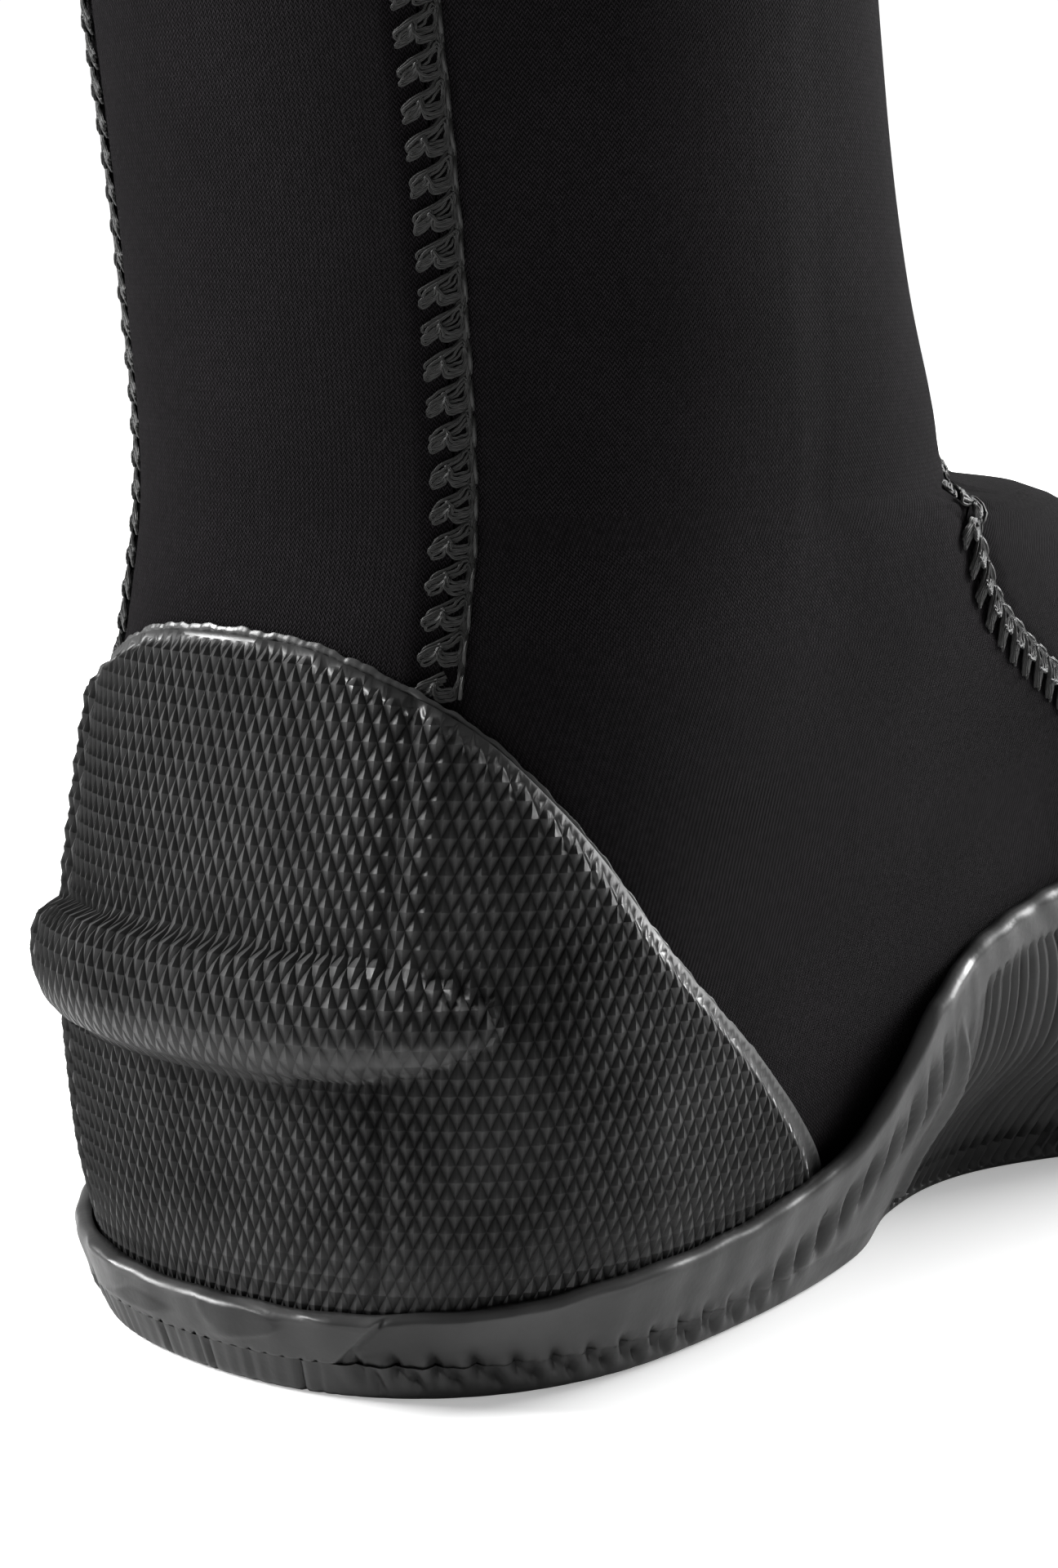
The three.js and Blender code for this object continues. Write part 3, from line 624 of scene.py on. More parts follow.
def add_piece(name, points, faces, material, replaced, body="boot", cloth=None, crest=None, sharp=50.0):
    """Makes a mesh object from points in millimetres, turns it right side out, smooths it, and tells the
    frame which body it rides on and which CAD nodes it stands for."""
    cloth = np.zeros((len(points), 2)) if cloth is None else cloth
    crest = np.full(len(points), 0.5) if crest is None else crest
    points, faces, cloth, crest = welded(points, faces, cloth, crest)
    a, b, c = points[faces[:, 0]], points[faces[:, 1]], points[faces[:, 2]]
    if np.einsum("ij,ij->", a, np.cross(b, c)) < 0:
        faces = faces[:, ::-1]
    mesh = bpy.data.meshes.new(name)
    mesh.vertices.add(len(points))
    mesh.vertices.foreach_set("co", ((points + shift) * MM).astype(np.float32).ravel())
    mesh.loops.add(faces.size)
    mesh.loops.foreach_set("vertex_index", faces.astype(np.int32).ravel())
    mesh.polygons.add(len(faces))
    mesh.polygons.foreach_set("loop_start", np.arange(0, faces.size, 3, dtype=np.int32))
    mesh.polygons.foreach_set("use_smooth", np.ones(len(faces), bool))
    mesh.update(calc_edges=True)
    layer = mesh.uv_layers.new(name="cloth")
    layer.data.foreach_set("uv", cloth[faces.ravel()].astype(np.float32).ravel())
    attribute = mesh.attributes.new("crest", "FLOAT", "POINT")
    attribute.data.foreach_set("value", crest.astype(np.float32))
    mesh.set_sharp_from_angle(angle=math.radians(sharp))
    mesh.materials.append(material)
    piece = bpy.data.objects.new(name, mesh)
    scene.collection.objects.link(piece)
    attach(piece, body)
    if replaced:
        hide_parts(*replaced)
    print(f"{name}: {len(points)} points, {len(faces)} triangles")
    return piece


def row_lengths(points):
    """How far each point of a grid lies along its row, in millimetres."""
    steps = np.linalg.norm(np.diff(points, axis=1), axis=-1)
    return np.concatenate([np.zeros((len(points), 1)), np.cumsum(steps, axis=1)], axis=1)


def cloth_map(points, seam_column=0):
    """Cloth coordinates of a grid: millimetres along the rows from one column, and up that column."""
    along = row_lengths(points)
    up = row_lengths(points[:, seam_column:seam_column + 1].transpose(1, 0, 2))[0]
    return np.stack([along - along[:, seam_column:seam_column + 1],
                     np.broadcast_to(up[:, None], along.shape)], -1).reshape(-1, 2)


def even_girths(low, high, pitch, z, distance, anchor=0.0):
    """Girths between low and high, a pitch apart in millimetres on the level z and counted from an anchor.
    Returns the girths and their counts."""
    v = np.linspace(low, high, 6001)
    path = at(v, z, distance)
    length = np.concatenate([[0.0], np.cumsum(np.linalg.norm(np.diff(path, axis=0), axis=1))])
    length = length - np.interp(anchor, v, length)
    count = np.arange(math.ceil(length[0] / pitch), math.floor(length[-1] / pitch) + 1)
    return np.interp(count * pitch, length, v), count


# %% [markdown]
# ## Neoprene panels
# Four panels are cut flat, glued edge to edge and sewn over. Each is a grid in v and z with a 5 mm wall.
# The skin sinks a little beside every seam, where the stitches pull it down, and it has the slow swells
# of a stretched sheet of foam.


# %% Panel helpers
def seam_distance(v, z):
    """Roughly how far a place lies from the nearest seam, in millimetres along the girth."""
    s = np.abs(wrap(v))
    stretch = np.maximum(np.linalg.norm(tangents(v, z)[0], axis=-1), 150.0)
    to_back = np.abs(s - back_seam) * stretch
    to_vamp = np.where(z < seam_top, np.abs(s - vamp_seam(z)) * stretch * 0.75, 99.0)
    over_vamp = np.where(s > 0.9, np.abs(z - seam_top) * 1.2, 99.0)
    to_front = np.where(z > seam_top, (1 - s) * stretch, 99.0)
    return np.minimum(np.minimum(to_back, to_vamp), np.minimum(over_vamp, to_front))


def soft_skin(v, z):
    """How far the neoprene's face lies from the drawn surface: a dip at the seams and slow swells."""
    dip = -0.7 * np.exp(-((seam_distance(v, z) / 2.6) ** 4))
    angle = np.pi * wrap(v)
    swell = 0.16 * np.sin(z / 13.0 + 2.0 * np.sin(angle))
    swell = swell + 0.14 * np.sin(z / 21.0 + 3.0 * np.cos(angle) + 1.0)
    return dip + swell * smoothstep(z, 60.0, 110.0)


def panel(name, heights, girths, low_edge, high_edge):
    """One neoprene panel between two edges, each a function of height; the nearest point of every row is
    pulled onto the edge."""
    heights = np.asarray(heights)
    low_v, high_v = low_edge(heights), high_edge(heights)
    first = np.abs(girths[None] - low_v[:, None]).argmin(1)
    last = np.abs(girths[None] - high_v[:, None]).argmin(1)
    v = np.repeat(girths[None], len(heights), 0)
    rows = np.arange(len(heights))
    v[rows, first] = low_v
    v[rows, last] = high_v
    z = np.repeat(heights[:, None], len(girths), 1)
    outer = at(v, z, soft_skin(v, z))
    inner = at(v, z, -neoprene)
    faces = grid_faces(len(heights), len(girths), first, last)
    return outer, inner, faces


def add_panel(name, parts):
    """Joins the parts of a panel edge to edge and adds it."""
    outer = np.concatenate([part[0].reshape(-1, 3) for part in parts])
    inner = np.concatenate([part[1].reshape(-1, 3) for part in parts])
    maps, height = [], 0.0
    for part in parts:
        maps.append(cloth_map(part[0], part[0].shape[1] // 2) + (0.0, height))
        height = maps[-1][-1, 1]
    cloth = np.concatenate(maps)
    starts = np.cumsum([0] + [part[0].shape[0] * part[0].shape[1] for part in parts[:-1]])
    faces = np.concatenate([part[2] + start for part, start in zip(parts, starts)])
    outer, faces, inner, cloth = welded(outer, faces, inner, cloth)
    points, closed = walled(outer, inner, faces)
    return add_piece(name, points, closed, knit, [name], cloth=np.concatenate([cloth, cloth]))


# %% Cut the four panels
row_pitch = 1.6
seam_relief = 0.0006
lower = np.linspace(base, seam_top, round((seam_top - base) / row_pitch))
upper = np.linspace(seam_top, panel_top, round((panel_top - seam_top) / row_pitch))
back_girths = np.linspace(-back_seam, back_seam, 81)
quarter_girths = np.unique(np.concatenate([np.linspace(back_seam, 0.14, 13), np.linspace(0.14, rear_part, 25),
                                           np.linspace(rear_part, 0.93, 96), np.linspace(0.93, 1.0, 14)]))
vamp_girths = np.linspace(0.55, 1.45, 151)


def level(value):
    """An edge at the same girth at every height."""
    return lambda z: np.full(np.shape(z), value)


whole = np.concatenate([lower, upper[1:]])
add_panel("back_panel", [panel("back", whole, back_girths, level(-back_seam + seam_relief),
                               level(back_seam - seam_relief))])
for side, name in ((1, "inner_quarter"), (-1, "outer_quarter")):
    edges = ((level(back_seam + seam_relief), lambda z: vamp_seam(z) - seam_relief),
             (level(back_seam + seam_relief), level(1.0 - seam_relief)))
    parts = []
    for heights, (near, far) in zip((lower, upper), edges):
        if side > 0:
            parts.append(panel(name, heights, quarter_girths, near, far))
        else:
            parts.append(panel(name, heights, -quarter_girths[::-1], lambda z: -far(z), lambda z: -near(z)))
    add_panel(name, parts)
add_panel("vamp", [panel("vamp", lower - np.linspace(0, 0.2, len(lower)), vamp_girths,
                         lambda z: vamp_seam(z) + seam_relief, lambda z: 2 - vamp_seam(z) - seam_relief)])

# %% [markdown]
# ## The knurled heel cup
# The cup is moulded rubber with a face of small upright diamonds, which keep a fin strap and the other
# foot from slipping. The diamonds could be a bump alone, but from the side they break the outline, so the
# mesh has them. The grid's lines run through the tips of the diamonds, and each cell is split along the
# valley, so a few triangles are enough for each one, and the finish sharpens their edges with a bump. The
# ridge that holds the strap, the hollow of the seam beneath, and the flattened margin are added to the same
# height.


# %% Diamond lattice
diamond_width = 1.65
diamond_height = 3.5
diamond_depth = 0.5


def diamonds(column, row):
    """The height of the lattice, 0 in the valleys to 1 on the tips, where column and row count quarters of
    a diamond. The distance is the sum of both ways from the nearest tip, and tips lie on two grids half a
    step apart."""
    p = np.abs(column / 4 - np.round(column / 4)) * 2
    q = np.abs(row / 4 - np.round(row / 4)) * 2
    away = np.minimum(p + q, 2 - p - q)
    return 1 - away ** 1.25


def valley_slant(rows, columns):
    """Which cells are split the other way, so that their diagonal lies in a valley."""
    j, i = np.meshgrid(rows[:-1] // 2, columns[:-1] // 2, indexing="ij")
    return (i + j) % 2 == 0


# %% Grid and wall of a cap
cap_gap = 0.25
margin_drop = 0.75


def ended_rows(girths, heights, edge):
    """Girths in rows and heights in columns, with the nearest point of each row pulled onto the edge. Also
    gives the last column of each row."""
    last = np.abs(heights[None] - edge[:, None]).argmin(1)
    z = np.repeat(heights[None], len(girths), 0)
    z[np.arange(len(girths)), last] = edge
    return np.repeat(girths[:, None], len(heights), 1), z, last


def add_cap(name, replaced, v, z, last, out, counts, height_counts, rows, strength):
    """Adds a knurled cap whose face stands out from the skin. The cloth map counts whole diamonds, and the
    crest number says how strong they are."""
    faces = grid_faces(len(counts), len(height_counts), None, last, slant=valley_slant(counts, height_counts))
    outer, inner = at(v, z, out), at(v, z, np.full(z.shape, cap_gap))
    points, closed = walled(outer.reshape(-1, 3), inner.reshape(-1, 3), faces)
    lattice_map = np.stack([np.repeat(counts[:, None] / 4, len(height_counts), 1), rows], -1)
    return add_piece(name, points, closed, knurl_rubber, replaced,
                     cloth=np.tile(lattice_map.reshape(-1, 2), (2, 1)),
                     crest=np.concatenate([strength.ravel(), np.zeros(z.size)]), sharp=180.0)


# %% Heel cup with its ridge
heel_girth = 215.0
seam_hollow_at, seam_swell_at, seam_mark_top = 0.107, 0.121, 80.0
ridge_half_height = 6.3
ridge_stand = 3.6
ridge_height = 39.3
ridge_reach = 0.172


def ridge(v, z):
    """A half-round bead across the heel that runs out to a point at each end."""
    full = np.clip(1 - np.abs(v / ridge_reach) ** 3, 0.0, 1.0) ** 0.6
    place = np.clip((z - ridge_height) / np.maximum(ridge_half_height * full, 0.05), -1.0, 1.0)
    return ridge_stand * full ** 0.6 * np.sqrt(1 - np.abs(place) ** 2.8)


def heel_cup():
    """The cup as a grid of girths and heights, each row ending at the cup's edge. The diamonds fade towards
    the sole and under the ridge."""
    girths, counts = even_girths(-cup_reach, cup_reach, diamond_width / 4, 35.0, over_cap)
    height_counts = np.arange(0, math.ceil((cup_height - base) / (diamond_height / 4)) + 1)
    heights = base + height_counts * diamond_height / 4
    edge = cup_edge(np.abs(girths))
    v, z, last = ended_rows(girths, heights, edge)
    z = np.minimum(z, cup_height + 1)
    steep = 1 / np.hypot(1, np.gradient(edge, girths * heel_girth))
    inward = (edge[:, None] - z) * steep[:, None]
    margin = smoothstep(inward, 0.7, 1.9)
    lattice = diamonds(counts[:, None], height_counts[None])
    bead = ridge(v, z)
    fade = smoothstep(z, base + 3, base + 16) * 0.55 + 0.45
    fade = fade * (1 - 0.75 * np.clip(bead, 0, 1) * smoothstep(ridge_height - z, -1.0, 4.0))
    hollow = np.exp(-(((np.abs(v) - seam_hollow_at) * heel_girth / 1.1) ** 2))
    hollow = hollow * smoothstep(z, 8.0, 14.0) * (z < seam_mark_top)
    swollen = np.exp(-(((np.abs(v) - seam_swell_at) * heel_girth / 1.3) ** 2))
    swollen = swollen * smoothstep(z, ridge_height, 50.0)
    relief = margin * fade * (0.62 * diamond_depth + 0.2 * swollen)
    out = over_cap - cap_gap - margin_drop * (1 - margin) + lattice * relief
    out = out + bead - 0.45 * hollow + 0.35 * swollen
    return add_cap("heel_cup", ["heel_cup", "fin_strap_ridge"], v, z, last, out, counts, height_counts,
                   (z - base) / diamond_height, margin * fade)


heel_cup()

# %% [markdown]
# A thin line of dried cement shows along the cup's edge, and the jersey is scuffed there. It is a bead that
# follows the edge, with a width and a height that wander. A sum of a few sines does that and gives the same
# bead every time.


# %% Tubes along a path
def tube(path, up, radius, sides=6, squash=1.0):
    """A closed tube: at each point of the path a ring of the given radius, square to the way the path runs,
    flattened towards the surface by squash. The two ends close on a point. Also gives its cloth map."""
    way = unit(np.gradient(path, axis=0))
    side = unit(np.cross(way, up))
    lift = np.cross(side, way)
    turn = np.arange(sides) / sides * 2 * np.pi
    radius = np.broadcast_to(radius, len(path))[:, None, None]
    ring = np.cos(turn)[None, :, None] * side[:, None] + squash * np.sin(turn)[None, :, None] * lift[:, None]
    rings = path[:, None] + radius * ring
    ends = np.repeat(path[[0, -1], None], sides, 1)
    points = np.concatenate([ends[:1], rings, ends[1:]])
    length = np.concatenate([[0.0], np.cumsum(np.linalg.norm(np.diff(path, axis=0), axis=1))])
    length = np.concatenate([length[:1], length, length[-1:]])
    cloth = np.stack(np.broadcast_arrays(length[:, None], turn[None]), -1).reshape(-1, 2)
    faces = grid_faces(len(points), sides, ring=True)
    return points.reshape(-1, 3), faces, cloth


def joined(shells):
    """Several (points, faces, cloth) shells as one set."""
    starts = np.cumsum([0] + [len(shell[0]) for shell in shells[:-1]])
    points = np.concatenate([shell[0] for shell in shells])
    faces = np.concatenate([shell[1] + start for shell, start in zip(shells, starts)])
    return points, faces, np.concatenate([shell[2] for shell in shells])


def wander(length, *waves):
    """A sum of sines along a length, each given as (wavelength in millimetres, height, phase)."""
    return sum(high * np.sin(2 * np.pi * length / wave + phase) for wave, high, phase in waves)


# %% Cement along the cup's edge
def edge_cement():
    """A flattened bead on the cup's edge, lumpy in width and height."""
    v = np.linspace(-cup_reach + 0.004, cup_reach - 0.004, 900)
    z = cup_edge(np.abs(v)) + 0.25
    length = row_lengths(at(v, z, 0.5)[None])[0]
    lumps = wander(length, (1.9, 0.12, 0.3), (3.7, 0.10, 1.1), (7.3, 0.14, 2.0), (0.9, 0.07, 0.5))
    top = smoothstep(np.abs(v), 0.13, 0.09)
    radius = 0.30 + 0.22 * lumps * (0.4 + top) + 0.25 * top
    path = at(v, z + 0.12 * wander(length, (5.1, 0.8, 0.0), (2.3, 0.5, 1.0)), 0.45)
    points, faces, cloth = tube(path, normal(v, z), np.maximum(radius, 0.16), 7, 0.75)
    return add_piece("heel_cup_edge_cement", points, faces, cement, [], cloth=cloth)


edge_cement()


# %% [markdown]
# ## Toe cap
# The toe cap has the same knurl. Its rows are even steps along the front of the toe, not even heights,
# because the surface lies down towards the instep.


# %% Toe cap
def toe_cap():
    """The cap as a grid of girths and steps up the toe, ended by a half oval edge."""
    low_v, high_v = 1 - toe_cap_reach, 1 + toe_cap_reach
    girths, counts = even_girths(low_v, high_v, diamond_width / 4, 28.0, over_cap, anchor=1.0)
    u = (girths - 1) / toe_cap_reach
    side_edge = base + toe_cap_side_height
    edge = side_edge + (toe_cap_height - side_edge) * np.sqrt(np.clip(1 - u * u, 0, 1))
    fine = np.linspace(base, toe_cap_height + 1, 2000)
    climb = row_lengths(at(1.0, fine, over_cap)[None])[0]
    height_counts = np.arange(0, int(climb[-1] / (diamond_height / 4)))
    heights = np.interp(height_counts * diamond_height / 4, climb, fine)
    v, z, last = ended_rows(girths, heights, edge)
    steep = 1 / np.hypot(1, np.gradient(edge, counts * diamond_width / 4))
    margin = smoothstep((edge[:, None] - z) * steep[:, None], 0.5, 1.6)
    lattice = diamonds(counts[:, None], height_counts[None])
    out = over_cap - cap_gap - margin_drop * (1 - margin) + lattice * margin * 0.6 * diamond_depth
    return add_cap("toe_cap", ["toe_cap"], v, z, last, out, counts, height_counts,
                   np.interp(z, fine, climb) / diamond_height, margin * 0.9)


toe_cap()

# %% [markdown]
# ## Sole strip
# A rubber strip is rolled round the boot to lock the caps and the upper to the sole. Its top edge is
# smooth and rounded. Below, moulded hollows give grip: fine cuts behind the heel, paired hollows along the
# side, drops that grow under the arch, and deep upright grooves from there to the toe. One function of
# girth and height gives how deep they are, and the outsole's wall uses it too, so the cuts and the grooves
# run on across the joint.

# %% Hollows of the sole strip
lug_pitch = 4.2
groove_pitch = 2.1
cut_pitch = 2.0
lug_middle = curve([(0.0, 2.9), (0.29, 3.1), (0.335, 6.5), (0.361, 14.0), (0.377, 20.5), (0.401, 25.0),
                    (1.0, 25.0)])
lug_half = curve([(0.0, 1.5), (0.29, 1.7), (0.335, 2.6), (0.365, 4.0), (0.39, 5.0), (1.0, 5.0)])
fold_girth = 0.397


def bell(x, width):
    """A smooth bump, 1 at zero and gone past about twice its width."""
    return np.exp(-((x / width) ** 2))


def hollows(v, length, z):
    """How deep the moulded hollows are at a girth, a length along the strip and a height."""
    s = np.abs(wrap(v))
    top = foxing_top(s)
    heel = 1 - smoothstep(s, 0.085, 0.105)
    fore = smoothstep(s, fold_girth + 0.006, fold_girth + 0.012)
    side = (1 - heel) * (1 - smoothstep(s, fold_girth - 0.014, fold_girth - 0.006))
    arch = smoothstep(s, 0.30, 0.345)
    cut = bell((length / cut_pitch + 0.12 * np.sin(length / 3.1)) % 1 - 0.5, 0.11)
    cut = cut * (1 - smoothstep(z, 3.8, 4.6)) * 0.6 * (0.6 + 0.4 * np.sin(length * 0.9))
    turn = (np.abs(length) + 0.35 * (z - 2.5)) / lug_pitch % 1
    pair = bell(turn - 0.28, 0.13) * bell(z - 3.6, 1.5) + 0.9 * bell(turn - 0.62, 0.12) * bell(z - 2.4, 1.3)
    drop = 1.4 * bell(turn - 0.45, 0.20)
    rise = (z - lug_middle(s)) / lug_half(s)
    lug = pair * (1 - arch) + drop * arch * bell(rise, 0.85)
    lip = 0.35 * bell(turn - 0.92, 0.10) * bell(rise, 1.0) * smoothstep(z, 0.2, 1.5)
    groove = smoothstep(np.abs(length / groove_pitch % 1 - 0.5), 0.30, 0.12)
    groove = (0.3 + groove) * smoothstep(z, 0.7, 1.8) * (1 - smoothstep(z, top - 5.2, top - 4.2))
    return heel * cut + side * (1.35 * lug - lip) + fore * 1.4 * groove


# %% Foxing strip
strip_pitch = 0.44
strip_girths, strip_counts = even_girths(-1.0, 1.0, strip_pitch, 12.0, over_cap + foxing_wall)
strip_length = strip_counts * strip_pitch
strip_round = 1.3
join_place, join_lean = 21.5, 0.9


def foxing_strip():
    """The strip as a ring of columns; each column climbs from the outsole to the strip's wavy top edge. Its
    two ends overlap in a slanted join at the heel, where cement has smeared, and a fold of rubber stands
    where the hollows change at the arch."""
    climb = np.concatenate([np.linspace(0, 0.86, 17), 1 - 0.14 * np.linspace(0.9, 0, 8) ** 1.7])
    v = np.repeat(strip_girths[None], len(climb), 0)
    top = foxing_top(np.abs(v)) + wander(strip_length, (23.0, 0.12, 0.0), (9.0, 0.08, 1.0))[None]
    z = sole_thickness + (top - sole_thickness) * climb[:, None]
    length = np.repeat(strip_length[None], len(climb), 0)
    edge = np.clip(strip_round - (top - z), 0, strip_round)
    rounding = strip_round - np.sqrt(strip_round ** 2 - edge ** 2)
    depth = hollows(v, length, z)
    slanted = length - join_lean * (z - 6.0)
    join = bell(slanted - join_place, 0.35)
    beyond = smoothstep(slanted, join_place - 0.7, join_place + 0.3) * (1 - smoothstep(length, 26.0, 40.0))
    fold = bell((np.abs(v) - fold_girth) * 430.0 + 0.2 * (z - 12.0), 1.1) * smoothstep(z, 1.0, 5.0)
    fold = 1.8 * fold * (1 - smoothstep(z, 22.0, 29.0))
    swell = 0.18 * wander(length, (17.0, 0.5, 0.4), (6.1, 0.35, 1.4)) * smoothstep(z, 4.0, 6.0)
    patch = np.sin(length / 2.9 + 1.7 * np.sin(z / 1.4)) + np.sin(length / 6.3 - z / 1.1 + 1.0)
    smear = smoothstep(patch, 0.1, 0.7) * smoothstep(z, 4.4, 5.0) * (1 - smoothstep(np.abs(v), 0.07, 0.13))
    out = foxing_outside(v) - rounding - depth - 0.3 * beyond - 0.25 * join + 0.8 * fold + swell
    out = out + 0.22 * smear
    outer = at(v, z, out)
    inner = at(v, z, foxing_inside(v) - 0.55)
    points, closed = walled(outer.reshape(-1, 3), inner.reshape(-1, 3),
                            grid_faces(len(climb), len(strip_girths), ring=True))
    # The crest number darkens the moulded hollows as painted shade and lightens the fold as a painted
    # highlight. It is also lighter on the rounded top edge, and darker beyond the join and where cement has
    # smeared.
    crest = np.clip(0.75 - 0.7 * depth + 0.25 * rounding - 0.55 * beyond + 0.4 * fold - 0.5 * smear, 0, 1)
    crest = np.concatenate([crest.ravel(), np.full(z.size, 0.3)])
    return add_piece("foxing_strip", points, closed, strip_rubber, ["foxing_strip"],
                     crest=crest, sharp=180.0)


foxing_strip()

# %% [markdown]
# ## Outsole and footbed
# A flat piece of the sole is a row of slices across the foot. Each slice is one closed loop: down the inner
# wall, across the bottom, up the outer wall and back across the top. The slices shrink to nothing at the
# heel and the toe, where the doubled points are merged.


# %% Slices across the foot
def sliced(s, wall_heights, distance, bottom, top, across=70):
    """A closed piece from slices at girths s and -s. distance(v, z) places the wall, and bottom(x, y, t) and
    top(x, y, t) give the heights of the faces at a share t of the way across."""
    walls = [at(side * s[:, None], wall_heights[None], distance(side * s[:, None], wall_heights[None]))
             for side in (1, -1)]
    share = np.linspace(0, 1, across + 1)[None, 1:-1, None]
    under = walls[0][:, -1:] * (1 - share) + walls[1][:, -1:] * share
    over = walls[1][:, :1] * (1 - share) + walls[0][:, :1] * share
    t = np.broadcast_to(share[..., 0], under.shape[:2])
    under[..., 2] = bottom(under[..., 0], under[..., 1], t)
    over[..., 2] = top(over[..., 0], over[..., 1], t)
    points = np.concatenate([walls[0], under, walls[1][:, ::-1], over], axis=1)
    faces = grid_faces(points.shape[0], points.shape[1], ring=True)
    return points.reshape(-1, 3), faces


# %% Outsole
tread_depth, tread_width, tread_pitch, edge_rim = 1.6, 3.2, 9.5, 5.0
heel_tread_start, heel_tread_end = 10.0, 63.0
fore_tread_start, fore_tread_end = 145.0, foot_length - 18
arch_middle = 100.0
corner_round = 0.9


def outsole():
    """The outsole: hollows round its wall, and cross grooves underneath inside a plain rim, with none under
    the arch. Fine lines run between the grooves."""
    s = np.concatenate([[0.0], even_girths(0.0, 1.0, 0.5, 4.0, over_cap + foxing_wall)[0][1:], [1.0]])
    path = row_lengths(at(np.stack([s, -s]), 12.0, over_cap + foxing_wall))
    heights = np.array([4.0, 3.4, 2.8, 2.2, 1.6, 1.1, 0.7, 0.4, 0.18, 0.05, 0.0])

    def wall(v, z):
        along = np.where(v[:, :1] >= 0, path[0][:, None], -path[1][:, None])
        under_corner = np.clip(corner_round - z, 0, corner_round)
        round_off = corner_round - np.sqrt(corner_round ** 2 - under_corner ** 2)
        return foxing_outside(v) - round_off - hollows(v, np.broadcast_to(along, np.broadcast(v, z).shape), z)

    def tread(x, y, t):
        width = np.abs(t - 0.5)
        span = np.linalg.norm(at(s, 0.0, 0.0) - at(-s, 0.0, 0.0), axis=-1)[:, None]
        rim = smoothstep((0.5 - width) * span, edge_rim - 0.6, edge_rim + 0.6)
        at_heel = y < arch_middle
        place = np.where(at_heel, (y - heel_tread_start) / tread_pitch, (y - fore_tread_start) / tread_pitch)
        from_groove = np.abs(place - np.round(place)) * tread_pitch
        groove = smoothstep(from_groove, tread_width / 2 + 0.2, tread_width / 2 - 0.4)
        under_heel = (y > heel_tread_start - 5) & (y < heel_tread_end)
        under_ball = (y > fore_tread_start - 5) & (y < fore_tread_end)
        fine = 0.3 * smoothstep(np.abs(y / 2.4 % 1 - 0.5), 0.28, 0.12)
        return rim * np.maximum(tread_depth * groove * np.where(at_heel, under_heel, under_ball), fine)

    points, faces = sliced(s, heights, wall, tread, lambda x, y, t: np.full(x.shape, sole_thickness), 60)
    crest = np.full(len(points), 0.6)
    return add_piece("outsole", points, faces, tread_rubber, ["outsole"], crest=crest,
                     sharp=70.0)


outsole()


# %% Footbed
def footbed():
    """A loose insole with rounded edges, a shallow hollow under the heel and a soft rise at the rim."""
    low, high = (corner.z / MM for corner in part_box("footbed"))
    thick = high - low
    s = np.linspace(0, 1, 220)
    heights = high - thick * (1 - np.cos(np.linspace(0, np.pi, 11))) / 2

    def wall(v, z):
        height = (z - low) / thick * 2 - 1
        return -(neoprene + 1.5) - 0.9 * (1 - np.sqrt(np.clip(1 - height ** 2, 0, 1)))

    def face(x, y, t):
        rim = smoothstep(np.minimum(t, 1 - t), 0.16, 0.0)
        return high - 0.5 * (1 - rim) - 0.5 * bell(np.hypot(x, y - 36), 26.0) * (1 - rim)

    points, faces = sliced(s, heights, wall, lambda x, y, t: np.full(x.shape, low), face, 48)
    return add_piece("footbed", points, faces, footbed_cloth, ["footbed"], body="footbed",
                     cloth=points[:, :2])


footbed()

# %% [markdown]
# ## Stitching
# The seams are sewn on a machine that throws a zig-zag over the joint and locks it with a straight row.
# Each stitch is one loop: it leaves the straight row, leans down across the seam, turns at the far edge,
# knots in the middle and comes back. A few points describe one stitch, in millimetres along the seam, across
# it and above the skin. A smooth curve runs through them again and again, and thin tubes follow it as the
# plies of the thread, each moved a little along the seam and up or down.


# %% A line on the boot that a seam follows
def seam_frame(v, z):
    """Points, ways across and outward normals at even steps along a line on the skin, with its length."""
    path = at(v, z, 0.0)
    length = row_lengths(path[None])[0]
    out = normal(v, z)
    across = unit(np.cross(unit(np.gradient(path, axis=0)), out))
    return {"length": length, "path": path, "out": out, "across": across}


def on_seam(frame_line, along, across, lift):
    """Points at distances along, across and above a seam's line."""
    def look_up(values):
        return np.stack([np.interp(along, frame_line["length"], values[:, k]) for k in range(3)], -1)

    out = unit(look_up(frame_line["out"]))
    side = unit(look_up(frame_line["across"]))
    return look_up(frame_line["path"]) + side * across[:, None] + out * lift[:, None], out


def smooth_loop(points, repeats, pitch, samples):
    """A curve through the points of one stitch, repeated a pitch apart: between two points it is the cubic
    whose slopes are half the step from the point before to the point after."""
    many = points[None] + np.arange(repeats)[:, None, None] * np.array([pitch, 0, 0])
    knots = many.reshape(-1, 3)
    p0, p1, p2, p3 = knots[:-3, None], knots[1:-2, None], knots[2:-1, None], knots[3:, None]
    t = np.arange(samples)[None, :, None] / samples
    path = 0.5 * (2 * p1 + (p2 - p0) * t + (2 * p0 - 5 * p1 + 4 * p2 - p3) * t ** 2
                  + (3 * p1 - p0 - 3 * p2 + p3) * t ** 3)
    return path.reshape(-1, 3)


# %% One overlocked seam
stitch_pitch = 3.45
stitch = np.array([(3.1, 1.8, 0.3), (2.3, 0.6, 0.6), (1.5, -1.0, 0.62), (0.8, -2.0, 0.5), (0.4, -1.95, 0.3),
                   (0.9, -0.9, 0.5), (1.5, -0.35, 0.85), (0.7, -0.05, 0.95), (0.75, 0.8, 0.6),
                   (1.6, 1.75, 0.3)])
plies = ((-0.54, -0.05), (-0.18, 0.08), (0.18, 0.08), (0.54, -0.05))


